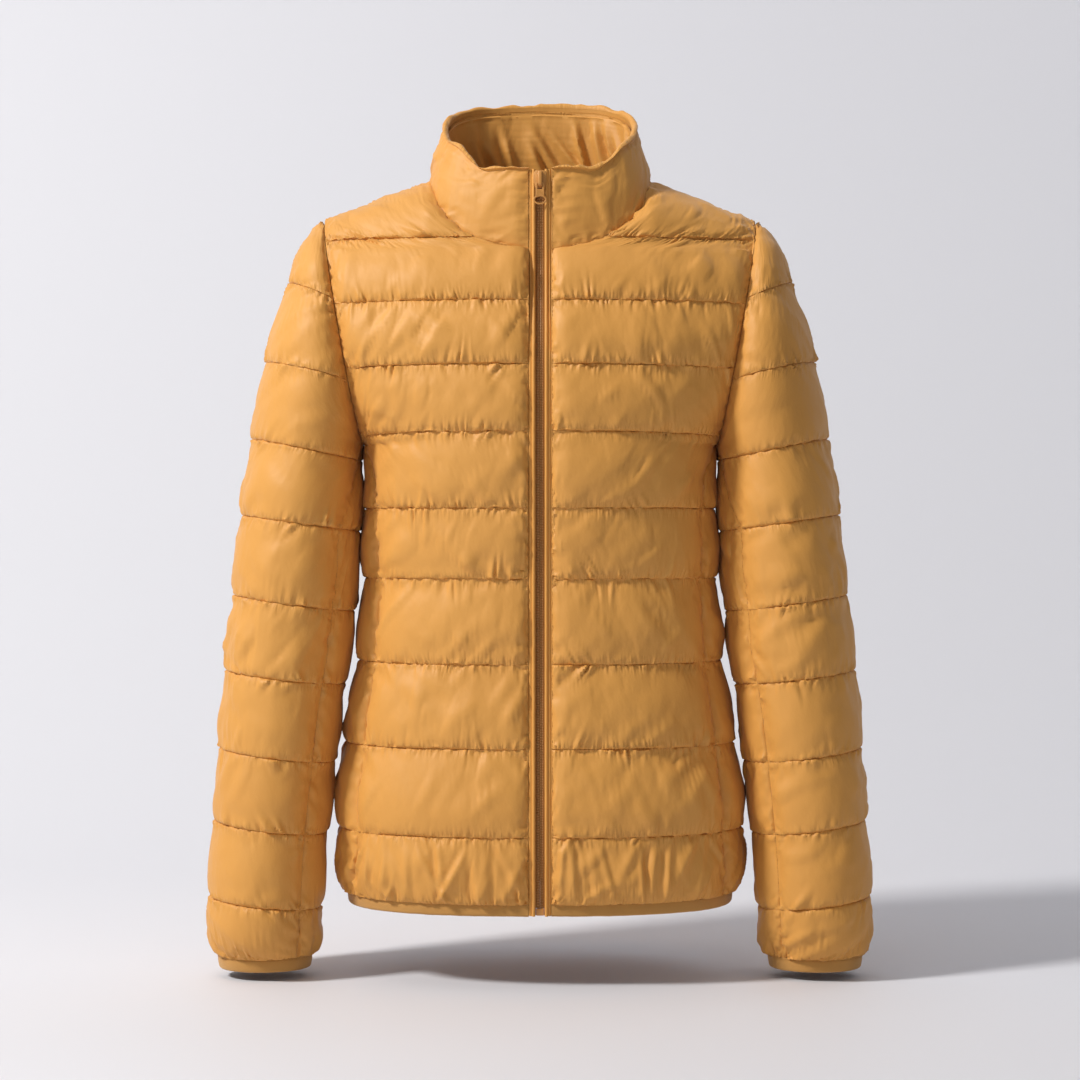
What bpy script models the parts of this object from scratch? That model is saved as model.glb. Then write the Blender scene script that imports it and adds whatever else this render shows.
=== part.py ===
"""Light down jacket with a stand collar and a full-length zip, standing hollow as it is worn.

The jacket faces -Y, the wearer's right is at -X and +Z is up. The origin is the middle of the neck's base,
level with the two points where the shoulder seams meet the collar. Lengths are in millimetres until a mesh is made.
"""
import math

import bmesh
import bpy
import numpy as np
from mathutils import Matrix

MM = 0.001

# ---- cloth ----
SEAM_INSET = 0.4         # each panel stops this far short of its seam
ARMHOLE_INSET = 0.5      # more of the same, straight outwards, at the armhole
STITCHED = 2.5           # thickness of the wall along a line of quilting
SEAM_TURN = 32.0         # how far from an armhole the wall's thickness still leans as the seam's does
BODY_PUFF = 6.8          # what a baffle of the body adds between two lines
SLEEVE_PUFF = 4.4
CUFF_PUFF = 6.5          # the last baffle of a sleeve, gathered into its binding
ROWS = 4                 # rows of faces in one baffle, outside
PUFF_POWER = 0.55
FULL_ROWS_FROM = 20      # from this row of the body up, the inner face keeps every row
SLEEVE_HEAD_ROWS = 12    # the inner face keeps every row of the sleeve's head

# ---- body: heights ----
HEM_EDGE = -618.0
BINDING_TOP = -608.0
ARMPIT = -224.0
YOKE = -56.0             # the highest line of quilting
CHEST_TURN = -200.0      # above this the body rounds over to the shoulders
QUILTING = (BINDING_TOP, -553.0, -481.0, -411.0, -340.0, -281.0, -218.0, -163.0, -110.0, YOKE)
LINE_UNDER_ARM = 5       # the last line of quilting below the armpit, which has a row of its own

# ---- body: inner girth; columns: height, half width, front depth, back depth ----
GIRTH = np.array((
    (HEM_EDGE, 162.5, 105.0, 105.5),
    (BINDING_TOP, 163.5, 106.0, 107.0),
    (-553.0, 169.0, 109.5, 111.0),
    (-481.0, 162.0, 103.5, 104.0),
    (-411.0, 151.5, 98.0, 92.0),
    (-340.0, 146.5, 98.5, 85.0),
    (-281.0, 146.5, 105.0, 91.0),
    (-255.0, 145.0, 107.0, 95.0),
    (-238.0, 147.5, 108.5, 98.0),
    (ARMPIT, 150.0, 109.0, 101.0),
    (-204.0, 157.0, 109.0, 102.5),
    (-170.0, 178.0, 109.0, 104.0),
    (-115.0, 200.0, 109.0, 104.0),
    (-60.0, 197.0, 109.0, 104.0),
    (10.0, 196.0, 109.0, 104.0),
))
SQUARE = 2.5             # power of the body's oval section

# ---- side seam: how far out it lies, as a share of the half width; columns: height, share ----
SIDE_SEAM = np.array((
    (BINDING_TOP, 0.935), (-553.0, 0.895), (-481.0, 0.900), (-411.0, 0.905), (-340.0, 0.912),
    (-290.0, 0.917), (-262.0, 0.935), (-243.0, 0.960), (ARMPIT, 0.990),
))

# ---- neck and shoulder ----
NECK_HALF = 92.5
SHOULDER_TIP = (186.0, 0.0, -36.0)
BACK_NECK = (68.0, 6.0)  # depth and height of the nape
NECK_LEAN = 0.45         # how far the neck seam's rim leans up
RIDGE_NORMAL = np.array((0.356, 0.0, 0.934))
ZIP_EDGE = 9.3           # the fronts and the collar stop here beside the zip
# columns: distance from the middle, height of the front neckline
NECKLINE = np.array(((0.0, -67.5), (20.0, -65.5), (38.0, -60.5), (52.0, -56.0), (62.5, -50.3), (75.0, -40.3),
                     (84.5, -26.9), (89.7, -12.5), (NECK_HALF, 0.0)))

# ---- armhole: a tilted oval ----
ARM_MIDDLE = np.array((169.0, -8.0, -130.0))
ARM_REACH = np.array((17.0, 8.0, 94.0))     # from the middle up to the shoulder tip
ARM_DEPTH = 62.0

# ---- sleeve: head rows meet the armhole; columns: row, outer x, outer z, armhole angle in degrees ----
SLEEVE_HEAD = np.array((
    (0.0, 187.6, -36.0, 14.0),
    (0.5, 201.5, -58.0, 47.0),
    (1.0, 212.5, -88.0, 75.0),
    (2.0, 232.5, -156.0, 117.0),
    (2.75, 241.5, -205.0, 180.0),
))
# ---- sleeve: tube rows; columns: row, outer x, outer z, inner x, inner z, half depth, middle y, tilt y, seam turn ----
SLEEVE_TUBE = np.array((
    (2.75, 241.5, -205.0, 153.6, ARMPIT, 69.5, -8.0, 8.0, 0.0),
    (3.0, 243.8, -222.0, 157.6, -239.0, 69.0, -9.5, 7.0, 6.0),
    (4.0, 251.7, -287.0, 160.5, -300.0, 66.0, -15.0, 2.0, 26.0),
    (5.0, 258.0, -355.0, 165.5, -368.0, 62.0, -19.5, 0.0, 38.0),
    (6.0, 264.5, -419.0, 173.0, -430.0, 58.5, -22.0, 0.0, 44.0),
    (7.0, 269.5, -485.0, 180.0, -496.0, 55.0, -25.0, 0.0, 46.0),
    (8.0, 273.5, -546.0, 186.5, -557.0, 51.5, -28.0, 0.0, 46.0),
    (9.0, 276.5, -610.0, 192.0, -620.0, 48.0, -31.0, 0.0, 44.0),
    (10.0, 271.5, -659.5, 198.0, -660.5, 31.5, -33.0, 0.0, 40.0),
))
ARMPIT_ROW = 2.75
ARMPIT_NORMAL = np.array((0.0, 0.0, -1.0))
SLEEVE_BAFFLES = 10
SLEEVE_COLUMNS = 20
PRESSED_ABOVE = -480.0   # down to here the sleeve rests on the body and its inner side is flatter
PRESSED_FADE = 78.0
HEAD_TURN_POWER = 1.77   # how fast a head row opens from a full ring to a half ring
CUFF_TOP = -661.1
CUFF_EDGE = -671.5

# ---- collar; columns: angle from the front in degrees, height of the top edge ----
COLLAR_TOP = np.array(((0.0, 1.5), (14.0, 2.0), (27.0, 0.5), (42.0, 11.0), (52.0, 21.0), (72.0, 33.0),
                       (90.0, 49.0), (125.0, 68.0), (150.0, 75.0), (180.0, 78.0)))
COLLAR_HALF = 79.5
COLLAR_FRONT = 76.0
COLLAR_BACK = 62.0
COLLAR_WALL = (2.6, 4.8, 5.8, 5.0, 3.0)      # thickness from the neck seam to the top edge
FACING_WALL = 1.8
FACING_DROP = 4.0        # the facing stops below the collar's top edge
FACING_FOLDS = 11
FACING_FOLD_DEPTH = 1.6

# ---- bindings ----
BINDING_WALL = 4.4
BINDING_BEHIND = 1.2     # how far a binding reaches inside the wall it folds over
CUFF_SIDES = 28

# ---- zip; each section's columns: distance from the middle, height over the fronts' inner face ----
BAND = ((9.0, 0.0), (9.0, 2.5), (7.0, 2.6), (6.5, 3.6), (5.3, 4.0), (4.1, 3.5), (3.7, 2.4), (4.2, 1.0), (5.0, 0.0))
TAPE = ((8.4, -1.2), (8.4, -0.4), (3.0, -0.4), (3.0, 1.5), (0.2, 1.5), (0.2, -1.2))
ZIP_BOTTOM = -617.5
ZIP_STATIONS = 18
BOX_SIZE = (6.6, 3.6, 6.0)
SLIDER_TOP = 0.0
SLIDER_LENGTH = 15.0
SLIDER_WIDTH = (11.0, 7.6)                   # at its shoulders and at its mouth
SLIDER_PLATE = (4.3, 5.9)                    # lowest and highest face over the fronts' inner face
SLIDER_POST = (4.8, 1.8)                     # width of the block over the coils, and its lowest face
CROWN_WIDTH = 3.0
CROWN_HOLE = 1.35
CROWN_WALL = 0.9
PIN_DROP = 11.2          # the tab's axis below the slider's top
TAB_THICK = 1.4
TAB_NECK = 7.4
TAB_RING = (11.4, 8.2)
TAB_RING_HOLE = (8.6, 5.2)
TAB_LENGTH = 18.0        # from the axis to the ring's lower edge
TAB_SLOT = 4.4           # length of the window that the crown stands in

COLOURS = {"nylon": (0.61, 0.31, 0.075), "binding": (0.55, 0.27, 0.065), "tape": (0.42, 0.19, 0.04),
           "metal": (0.50, 0.25, 0.06)}
FINISHES = {"nylon": (0.45, 0.0), "binding": (0.85, 0.0), "tape": (0.7, 0.0), "metal": (0.35, 0.6)}


# ---- small tools ----
def clear_scene():
    for thing in list(bpy.data.objects):
        bpy.data.objects.remove(thing, do_unlink=True)


def collection(name):
    made = bpy.data.collections.new(name)
    bpy.context.scene.collection.children.link(made)
    return made


def material(kind):
    """One finish, shared by the pieces that have it."""
    made = bpy.data.materials.get(kind) or bpy.data.materials.new(kind)
    made.use_nodes = True
    shader = made.node_tree.nodes["Principled BSDF"]
    roughness, metallic = FINISHES[kind]
    shader.inputs["Base Color"].default_value = (*COLOURS[kind], 1.0)
    shader.inputs["Roughness"].default_value = roughness
    shader.inputs["Metallic"].default_value = metallic
    return made


def smooth(x, table, column=1):
    """The column's value at x on a smooth curve through the table's rows, which are in order of their first column."""
    xs, ys = table[:, 0], table[:, column]
    if xs[0] > xs[-1]:
        xs, ys = xs[::-1], ys[::-1]
    steps = np.diff(ys) / np.diff(xs)
    slopes = np.zeros(len(xs))
    same_way = steps[1:] * steps[:-1] > 0
    slopes[1:-1][same_way] = 2.0 / (1.0 / steps[1:][same_way] + 1.0 / steps[:-1][same_way])
    slopes[0], slopes[-1] = steps[0], steps[-1]
    at = np.clip(x, xs[0], xs[-1])
    k = np.clip(np.searchsorted(xs, at) - 1, 0, len(xs) - 2)
    width = xs[k + 1] - xs[k]
    t = (at - xs[k]) / width
    return ((2 * t**3 - 3 * t**2 + 1) * ys[k] + (t**3 - 2 * t**2 + t) * width * slopes[k]
            + (3 * t**2 - 2 * t**3) * ys[k + 1] + (t**3 - t**2) * width * slopes[k + 1])


def unit(v):
    return v / np.maximum(np.linalg.norm(v, axis=-1, keepdims=True), 1e-9)


def add_mesh(name, points, faces, kind):
    """A piece of the jacket from points in millimetres, with its faces turned out."""
    mesh = bpy.data.meshes.new(name)
    mesh.from_pydata([tuple(p * MM) for p in points], [], faces)
    form = bmesh.new()
    form.from_mesh(mesh)
    bmesh.ops.recalc_face_normals(form, faces=form.faces)
    form.to_mesh(mesh)
    form.free()
    mesh.materials.append(material(kind))
    mesh.shade_smooth()
    mesh.set_sharp_from_angle(angle=math.radians(50))
    piece = bpy.data.objects.new(name, mesh)
    PIECES.objects.link(piece)
    return piece


def wall(name, inner, outer, kind, kept=None, closed=False):
    """A closed wall between two grids of the same points' rows and columns; the inner one uses its kept rows alone."""
    kept = list(range(len(inner))) if kept is None else kept
    columns = inner.shape[1]
    points = np.concatenate((inner[kept].reshape(-1, 3), outer.reshape(-1, 3)))
    spans = range(columns if closed else columns - 1)

    def inside(row, col):
        return row * columns + col % columns

    def outside(row, col):
        return (len(kept) + row) * columns + col % columns

    faces = []
    for skin, count in ((inside, len(kept)), (outside, len(outer))):
        faces += [(skin(r, c), skin(r, c + 1), skin(r + 1, c + 1), skin(r + 1, c))
                  for r in range(count - 1) for c in spans]
    for low, high in ((0, 0), (len(kept) - 1, len(outer) - 1)):
        faces += [(inside(low, c), inside(low, c + 1), outside(high, c + 1), outside(high, c)) for c in spans]
    if not closed:
        for c in (0, columns - 1):
            for r, (start, stop) in enumerate(zip(kept, kept[1:])):
                faces += [(inside(r, c), outside(o, c), outside(o + 1, c)) for o in range(start, stop)]
                faces.append((inside(r, c), outside(stop, c), inside(r + 1, c)))
    return add_mesh(name, points, faces, kind)


def grid_normals(grid):
    """Unit normals of a grid of points, from its own rows and columns."""
    return unit(np.cross(np.gradient(grid, axis=1), np.gradient(grid, axis=0)))


def turned_to_edge(normals, grid, rows, col, reach=SEAM_TURN):
    """Turns the normals near a grid's edge column towards that column's own, so that walls in a corner stay apart."""
    step = 1 if col == 0 else -1
    ordered = range(col, grid.shape[1] * step + col, step)
    away = np.zeros(len(grid))
    before = col
    for at in ordered:
        away += np.linalg.norm(grid[:, at] - grid[:, before], axis=-1)
        share = np.clip(away / reach, 0, 1)[:, None]
        share = share * share * (3 - 2 * share)
        turned = unit(normals[:, col] * (1 - share) + normals[:, at] * share)
        normals[rows, at] = turned[rows]
        before = at
    return normals


def mirrored(grid):
    return grid * np.array((-1.0, 1.0, 1.0))


def plain_rows(rows, first_full, last_full):
    """Rows that a plain inner face keeps: those under the quilting, and all of them from one row to another."""
    return [r for r in range(rows) if r % ROWS == 0 or first_full <= r <= last_full]


def puff(t):
    """How full a baffle is at a share of its height: 0 on a line of quilting and 1 half-way to the next."""
    return (4 * t * (1 - t)) ** PUFF_POWER


def body_rows_fullness(rows):
    """Fullness of each row of a body panel, by its height within its baffle."""
    heights = np.array(panel_heights(ROWS))
    lines = np.array(QUILTING)
    below = np.clip(np.searchsorted(lines, heights, side="right") - 1, 0, len(lines) - 2)
    t = (heights - lines[below]) / (lines[below + 1] - lines[below])
    yoke = np.arange(1, rows - len(heights) + 1) / ROWS
    return puff(np.concatenate((t, yoke)))


def edge_fall(u, reach=0.16):
    """How full a baffle is across a panel: it flattens towards the seams at u = 0 and u = 1."""
    near = np.minimum(u, 1 - u) / reach
    return np.sin(np.clip(near, 0, 1) * math.pi / 2) ** 0.8


# ---- body form ----
def oval(share, power=SQUARE):
    """Depth share of an oval section at a share of its half width."""
    return (1 - np.clip(np.abs(share), 0, 1) ** power) ** (1 / power)


def shoulder_height(x):
    """The jacket's upper edge over x: the neck's base, then the sloping shoulder."""
    fall = SHOULDER_TIP[2] / (SHOULDER_TIP[0] - NECK_HALF)
    return fall * np.maximum(np.abs(x) - NECK_HALF, 0)


def back_top(x):
    """Depth and height of the back's upper edge over x."""
    share = np.abs(x) / NECK_HALF
    return BACK_NECK[0] * oval(share), shoulder_height(x) + BACK_NECK[1] * np.clip(1 - share**2, 0, 1)


def body_depth(x, z, behind=False):
    """y of the body's inner face at x and z, on the front or behind."""
    share = x / smooth(z, GIRTH, 1)
    if behind:
        top_y, top_z = back_top(x)
        deep = smooth(z, GIRTH, 3) * oval(share)
    else:
        top_y, top_z = 0.0, shoulder_height(x)
        deep = smooth(z, GIRTH, 2) * oval(share)
    turn = np.clip((z - CHEST_TURN) / (top_z - CHEST_TURN), 0, 1)
    y = top_y + (deep - top_y) * np.sqrt(1 - turn**2)
    return y if behind else -y


def body_ring(angle, z):
    """Points of the body's inner face at an angle from the middle of the front, in radians."""
    x = smooth(z, GIRTH, 1) * np.abs(np.sin(angle)) ** (2 / SQUARE)
    front = body_depth(x, z)
    behind = body_depth(x, z, behind=True)
    return np.stack((x, np.where(angle < math.pi / 2, front, behind), z + 0 * x), axis=-1)


def ring_angle(share):
    return np.arcsin(np.clip(share, 0, 1) ** (SQUARE / 2))


def side_angle(depth_share):
    return np.arccos(np.clip(depth_share, 0, 1) ** (SQUARE / 2))


def armhole(angle, side):
    """A point of the armhole; angle 0 is the shoulder tip, pi the armpit, side -1 the front and 1 the back."""
    turn = np.stack((0 * angle, side * ARM_DEPTH * np.sin(angle), 0 * angle), axis=-1)
    return ARM_MIDDLE + ARM_REACH * np.cos(angle)[..., None] + turn


def armhole_normal(angle, side):
    lean = np.stack((0 * angle, side * np.sin(angle) * ARM_REACH[2], np.cos(angle) * ARM_DEPTH), axis=-1)
    return unit(lean)


def armhole_angle(z):
    return np.arccos(np.clip((z - ARM_MIDDLE[2]) / ARM_REACH[2], -1, 1))


def panel_heights(rows_each):
    """Heights of a panel's level rows, from the hem up to the highest line of quilting."""
    heights = [low + (high - low) * k / rows_each
               for low, high in zip(QUILTING, QUILTING[1:]) for k in range(rows_each)]
    heights[-1] = NECKLINE[0, 1]
    heights[LINE_UNDER_ARM * rows_each:(LINE_UNDER_ARM + 1) * rows_each] = list(
        np.linspace(QUILTING[LINE_UNDER_ARM], ARMPIT, rows_each))
    return heights + [QUILTING[-1]]


def panel_grid(rows_each, shares, behind):
    """Half of the body's front or back for x > 0: its points and its seam normals, row by row from the hem."""
    rows, normals = [], []
    side = 1 if behind else -1
    for z in panel_heights(rows_each):
        half = smooth(z, GIRTH, 1)
        if z < ARMPIT:
            seam = ring_angle(smooth(z, SIDE_SEAM))
            edge = body_ring(np.array([seam]), z)[0]
            slope = body_ring(np.array([seam + 0.05]), z)[0] - body_ring(np.array([seam - 0.05]), z)[0]
            normal = unit(np.array((slope[1], -slope[0], 0.0)))
        else:
            at = np.array(armhole_angle(z))
            edge = armhole(at, side)
            deep = smooth(z, GIRTH, 3 if behind else 2)
            seam = (ring_angle(edge[0] / half) + side_angle(np.abs(edge[1]) / deep)) / 2
            normal = armhole_normal(at, side)
            edge = edge - np.array((ARMHOLE_INSET, 0.0, 0.0))
        middle = math.pi if behind else ring_angle(neck_edge(z) / half)
        end = math.pi - seam if edge[1] > 0 else seam
        row = body_ring(middle + (end - middle) * shares, z)
        row += (edge - row[-1]) * (shares**4)[:, None]
        rows.append(row)
        normals.append(normal)
    start = rows[-1][:, 0]
    fractions = (start - start[0]) / (start[-1] - start[0])
    for step in range(1, rows_each + 1):
        t = step / rows_each
        edge_z = YOKE + t * (SHOULDER_TIP[2] - YOKE)
        at = np.array(armhole_angle(edge_z))
        edge = armhole(at, side) - np.array((ARMHOLE_INSET, 0.0, 0.0))
        top = back_top_places(shares, edge[0])
        low = 0.0 if behind else neck_edge(YOKE * (1 - t))
        x = low + fractions * (edge[0] - low)
        if behind:
            x = x * (1 - t) + top * t
            x[0] = 0.0
            height = back_top(x)[1]
        else:
            height = shoulder_height(x)
        z = YOKE + t * (height - YOKE)
        row = np.stack((x, body_depth(x, z, behind), z), axis=-1)
        row += (edge - row[-1]) * (shares**4)[:, None]
        rows.append(row)
        normals.append(armhole_normal(at, side))
    return np.array(rows), np.array(normals)


def neck_edge(z):
    """How far out the front starts at a height: beside the zip, or on the neckline."""
    return max(ZIP_EDGE, float(np.interp(z, NECKLINE[:, 1], NECKLINE[:, 0])))


def back_top_places(shares, tip):
    """x of each column of the back along its upper edge: round the neck to its side, then out to the shoulder tip."""
    round_neck = NECK_HALF * np.sin(np.clip(shares / BACK_NECK_SHARE, 0, 1) * math.pi / 2) ** (2 / SQUARE)
    return np.where(shares <= BACK_NECK_SHARE, round_neck, np.interp(shares, (BACK_NECK_SHARE, 1), (NECK_HALF, tip)))


def neck_normal(point):
    """The way that the wall's thickness points along the neck seam, shared by the panels and the collar."""
    lean = np.stack((point[..., 0] / NECK_HALF**2, point[..., 1] / BACK_NECK[0]**2, 0 * point[..., 0]), axis=-1)
    return unit(unit(lean) + np.array((0.0, 0.0, NECK_LEAN)))


def body_fullness(grid):
    """Where the body presses on the sleeves it is flatter."""
    near = np.exp(-((grid[..., 2] + 245.0) / 32.0) ** 2) * np.clip((np.abs(grid[..., 0]) - 105.0) / 40.0, 0, 1)
    return 1 - 0.8 * near


def thinned(grid):
    """The walls are pressed thin where they meet in the armpit."""
    near = np.exp(-((grid[..., 2] + 220.0) / 24.0) ** 2) * np.exp(-((np.abs(grid[..., 0]) - 153.0) / 12.0) ** 2)
    return 1 - 0.6 * near


# ---- body pieces ----
FRONT_SHARES = np.array((0.0, 0.07, 0.2, 0.36, 0.52, 0.68, 0.82, 0.93, 1.0))
BACK_SHARES = np.array((0.0, 0.10, 0.20, 0.30, 0.40, 0.48, 0.60, 0.72, 0.84, 0.94, 1.0))
BACK_NECK_SHARE = 0.48


def inset_rows(grid, first, last):
    """Moves a grid's first and last columns in from their seams."""
    for on, col, towards in ((first, 0, 1), (last, -1, -2)):
        if on:
            grid[:, col] += unit(grid[:, towards] - grid[:, col]) * SEAM_INSET
    return grid


def top_inset(grid):
    grid[-1] += unit(grid[-2] - grid[-1]) * SEAM_INSET
    return grid


def build_fronts():
    inner, seam = panel_grid(ROWS, FRONT_SHARES, behind=False)
    inner = top_inset(inset_rows(inner, True, True))
    normals = grid_normals(inner)
    at_neck = inner[:, 0, 2] > NECKLINE[0, 1]
    normals[-1] = RIDGE_NORMAL
    normals[at_neck, 0] = neck_normal(inner[at_neck, 0])
    normals[:, -1] = seam
    at_arm = inner[:, -1, 2] > ARMPIT - 1
    turned_to_edge(normals, inner, at_arm, inner.shape[1] - 1)
    fill = body_rows_fullness(len(inner))[:, None] * edge_fall(FRONT_SHARES)[None, :] * body_fullness(inner)
    outer = inner + normals * ((STITCHED + BODY_PUFF * fill) * thinned(inner))[..., None]
    kept = plain_rows(len(inner), FULL_ROWS_FROM, len(inner))
    wall("front_left", inner, outer, "nylon", kept)
    wall("front_right", mirrored(inner), mirrored(outer), "nylon", kept)


def build_back():
    half, seam = panel_grid(ROWS, BACK_SHARES, behind=True)
    half = top_inset(inset_rows(half, False, True))
    inner = np.concatenate((mirrored(half)[:, :0:-1], half), axis=1)
    seam_normals = np.concatenate((mirrored(seam)[:, None], seam[:, None]), axis=1)
    u = (1 + np.concatenate((-BACK_SHARES[:0:-1], BACK_SHARES))) / 2
    normals = -grid_normals(inner)
    at_neck = np.abs(inner[-1, :, 0]) < NECK_HALF + 1
    ridge = RIDGE_NORMAL * np.stack((np.sign(inner[-1, :, 0]), 0 * u + 1, 0 * u + 1), axis=-1)
    normals[-1] = np.where(at_neck[:, None], neck_normal(inner[-1]), ridge)
    normals[:, 0] = seam_normals[:, 0]
    normals[:, -1] = seam_normals[:, 1]
    at_arm = inner[:, -1, 2] > ARMPIT - 1
    for col in (0, inner.shape[1] - 1):
        turned_to_edge(normals, inner, at_arm, col)
    fill = body_rows_fullness(len(inner))[:, None] * edge_fall(u, 0.08)[None, :] * body_fullness(inner)
    outer = inner + normals * ((STITCHED + BODY_PUFF * fill) * thinned(inner))[..., None]
    wall("back", inner, outer, "nylon", plain_rows(len(inner), FULL_ROWS_FROM, len(inner)))


# ---- sleeves ----
def sleeve_row(s, turns):
    """One row of a sleeve's inner face: its points, and its two edge normals, for x > 0."""
    if s < ARMPIT_ROW:
        outer_tip = np.array((smooth(s, SLEEVE_HEAD, 1), 0.0, smooth(s, SLEEVE_HEAD, 2)))
        at = np.radians(smooth(s, SLEEVE_HEAD, 3))
        turn = math.pi / 2 * (1 + (at / math.pi) ** HEAD_TURN_POWER)
        mouth = ARM_MIDDLE + ARM_REACH * math.cos(at) + np.array((ARMHOLE_INSET, 0.0, 0.0))
        reach = (outer_tip - mouth) / (1 - math.cos(turn))
        middle = outer_tip - reach
        depth = ARM_DEPTH * math.sin(at) / math.sin(turn)
        shift = 0.0
        ends = (armhole_normal(np.array(at), 1), armhole_normal(np.array(at), -1))
    else:
        _, ox, oz, ix, iz, depth, middle_y, tilt, shift = (smooth(s, SLEEVE_TUBE, c) for c in range(9))
        middle = np.array(((ox + ix) / 2, middle_y, (oz + iz) / 2))
        reach = np.array(((ox - ix) / 2, tilt, (oz - iz) / 2))
        turn = math.pi
        ends = (ARMPIT_NORMAL, ARMPIT_NORMAL) if s == ARMPIT_ROW else None
    psi = turns * turn - math.radians(shift)
    row = middle + reach * np.cos(psi)[:, None] + np.stack((0 * psi, -depth * np.sin(psi), 0 * psi), axis=-1)
    return row, ends, psi


def build_sleeves():
    turns = np.linspace(-1, 1, SLEEVE_COLUMNS + 1)
    made = [sleeve_row(k / ROWS, turns) for k in range(SLEEVE_BAFFLES * ROWS + 1)]
    inner = np.array([row for row, _, _ in made])
    psi = np.array([angles for _, _, angles in made])
    at_arm = np.array([ends is not None for _, ends, _ in made])
    joined = np.arange(len(made)) >= ARMPIT_ROW * ROWS
    normals = grid_normals(inner)
    both = unit(normals[:, 0] + normals[:, -1])
    for k, (_, ends, _) in enumerate(made):
        normals[k, 0], normals[k, -1] = (both[k], both[k]) if ends is None else ends
    normals[-1] = unit(normals[-1] * np.array((1.0, 1.0, 0.0)))
    for col in (0, SLEEVE_COLUMNS):
        turned_to_edge(normals, inner, at_arm, col)
    inner[joined] = inset_rows(inner[joined], True, True)
    crown = np.full(len(inner), SLEEVE_PUFF)
    crown[-ROWS:] = CUFF_PUFF
    inner_side = (1 - np.cos(psi)) / 2
    pressed = np.clip((PRESSED_ABOVE - inner[..., 2]) / PRESSED_FADE, 0, 1)
    flat_inside = 1 - (0.6 - 0.39 * pressed) * inner_side
    u = np.linspace(0, 1, SLEEVE_COLUMNS + 1)
    fill = puff(np.arange(len(inner)) % ROWS / ROWS)[:, None] * edge_fall(u, 0.08)[None, :] * flat_inside
    outer = inner + normals * ((STITCHED + crown[:, None] * fill) * thinned(inner))[..., None]
    kept = plain_rows(len(inner), 0, SLEEVE_HEAD_ROWS)
    wall("sleeve_left", inner, outer, "nylon", kept)
    wall("sleeve_right", mirrored(inner), mirrored(outer), "nylon", kept)


# ---- collar ----
def neck_points():
    """The neck seam from the zip to the nape for x > 0, at the same places as the panels' own points."""
    level = np.interp(np.linspace(ZIP_EDGE, neck_edge(YOKE), 4), NECKLINE[:, 0], NECKLINE[:, 1])
    heights = np.concatenate((level, YOKE * (1 - np.arange(1, ROWS + 1) / ROWS)))
    x = np.array([neck_edge(z) for z in heights])
    front = np.stack((x, body_depth(x, heights), heights), axis=-1)
    x = back_top_places(BACK_SHARES[BACK_SHARES < BACK_NECK_SHARE][::-1], 0.0)
    y, z = back_top(x)
    return np.concatenate((front, np.stack((x, y, z), axis=-1)))


def collar_ring(angle):
    """The collar's top edge at an angle from the front, in radians."""
    x = COLLAR_HALF * np.abs(np.sin(angle)) ** (2 / SQUARE)
    deep = np.where(angle < math.pi / 2, -COLLAR_FRONT, COLLAR_BACK) * np.abs(np.cos(angle)) ** (2 / SQUARE)
    return np.stack((x, deep, smooth(np.degrees(angle), COLLAR_TOP)), axis=-1)


def collar_grid(heights, clear_low, clear_top):
    """The collar's face between the zip and the nape, both sides, as rows from the neck seam to the top edge."""
    low = neck_points()
    angle = ring_angle(low[:, 0] / NECK_HALF)
    top = collar_ring(np.where(low[:, 1] > 0, math.pi - angle, angle))
    low[:, 2] += clear_low
    top[:, 2] -= clear_top
    top[0, 0] = ZIP_EDGE
    half = np.array([low * (1 - h) + top * h for h in heights])
    return np.concatenate((half, mirrored(half)[:, -2::-1]), axis=1)


def doubled_columns(grid):
    """The grid with a column added half-way between each two."""
    between = (grid[:, 1:] + grid[:, :-1]) / 2
    made = np.empty((grid.shape[0], 2 * grid.shape[1] - 1, 3))
    made[:, ::2], made[:, 1::2] = grid, between
    return made


def build_collar():
    heights = np.linspace(0, 1, len(COLLAR_WALL))
    grid = collar_grid(heights, 1.2, 0.0)
    normals = grid_normals(grid)
    normals[0] = neck_normal(grid[0])
    outer = grid + normals * np.array(COLLAR_WALL)[:, None, None]
    wall("collar", grid, outer, "nylon", [0, 2, 4])
    face = doubled_columns(collar_grid(np.array((0.0, 0.5, 1.0)), 1.6, FACING_DROP))
    away = -grid_normals(face)
    u = np.linspace(0, 1, face.shape[1])
    fold = (1 - np.cos(2 * math.pi * FACING_FOLDS * u)) / 2 * np.sin(math.pi * u) ** 0.5
    lift = SEAM_INSET + FACING_FOLD_DEPTH * fold[None, :] * np.array((0.3, 0.8, 1.0))[:, None]
    near = face + away * lift[..., None]
    wall("collar_facing", near + away * FACING_WALL, near, "nylon")


# ---- bindings ----
def build_hem_binding():
    """The strip folded over the hem, open beside the zip."""
    first = ring_angle(ZIP_EDGE / GIRTH[0, 1])
    angle = first + (math.pi - first) * np.linspace(0, 1, 17)
    rows = []
    for z in (HEM_EDGE, BINDING_TOP - SEAM_INSET):
        half = body_ring(angle, z)
        half[0, 0], half[-1, 0] = ZIP_EDGE, 0.0
        rows.append(np.concatenate((half, mirrored(half)[-2::-1]), axis=0))
    face = np.array(rows)
    normals = grid_normals(face)
    outer = face + normals * (BINDING_WALL - BINDING_BEHIND)
    wall("hem_binding", face - normals * BINDING_BEHIND, outer, "binding")


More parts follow.
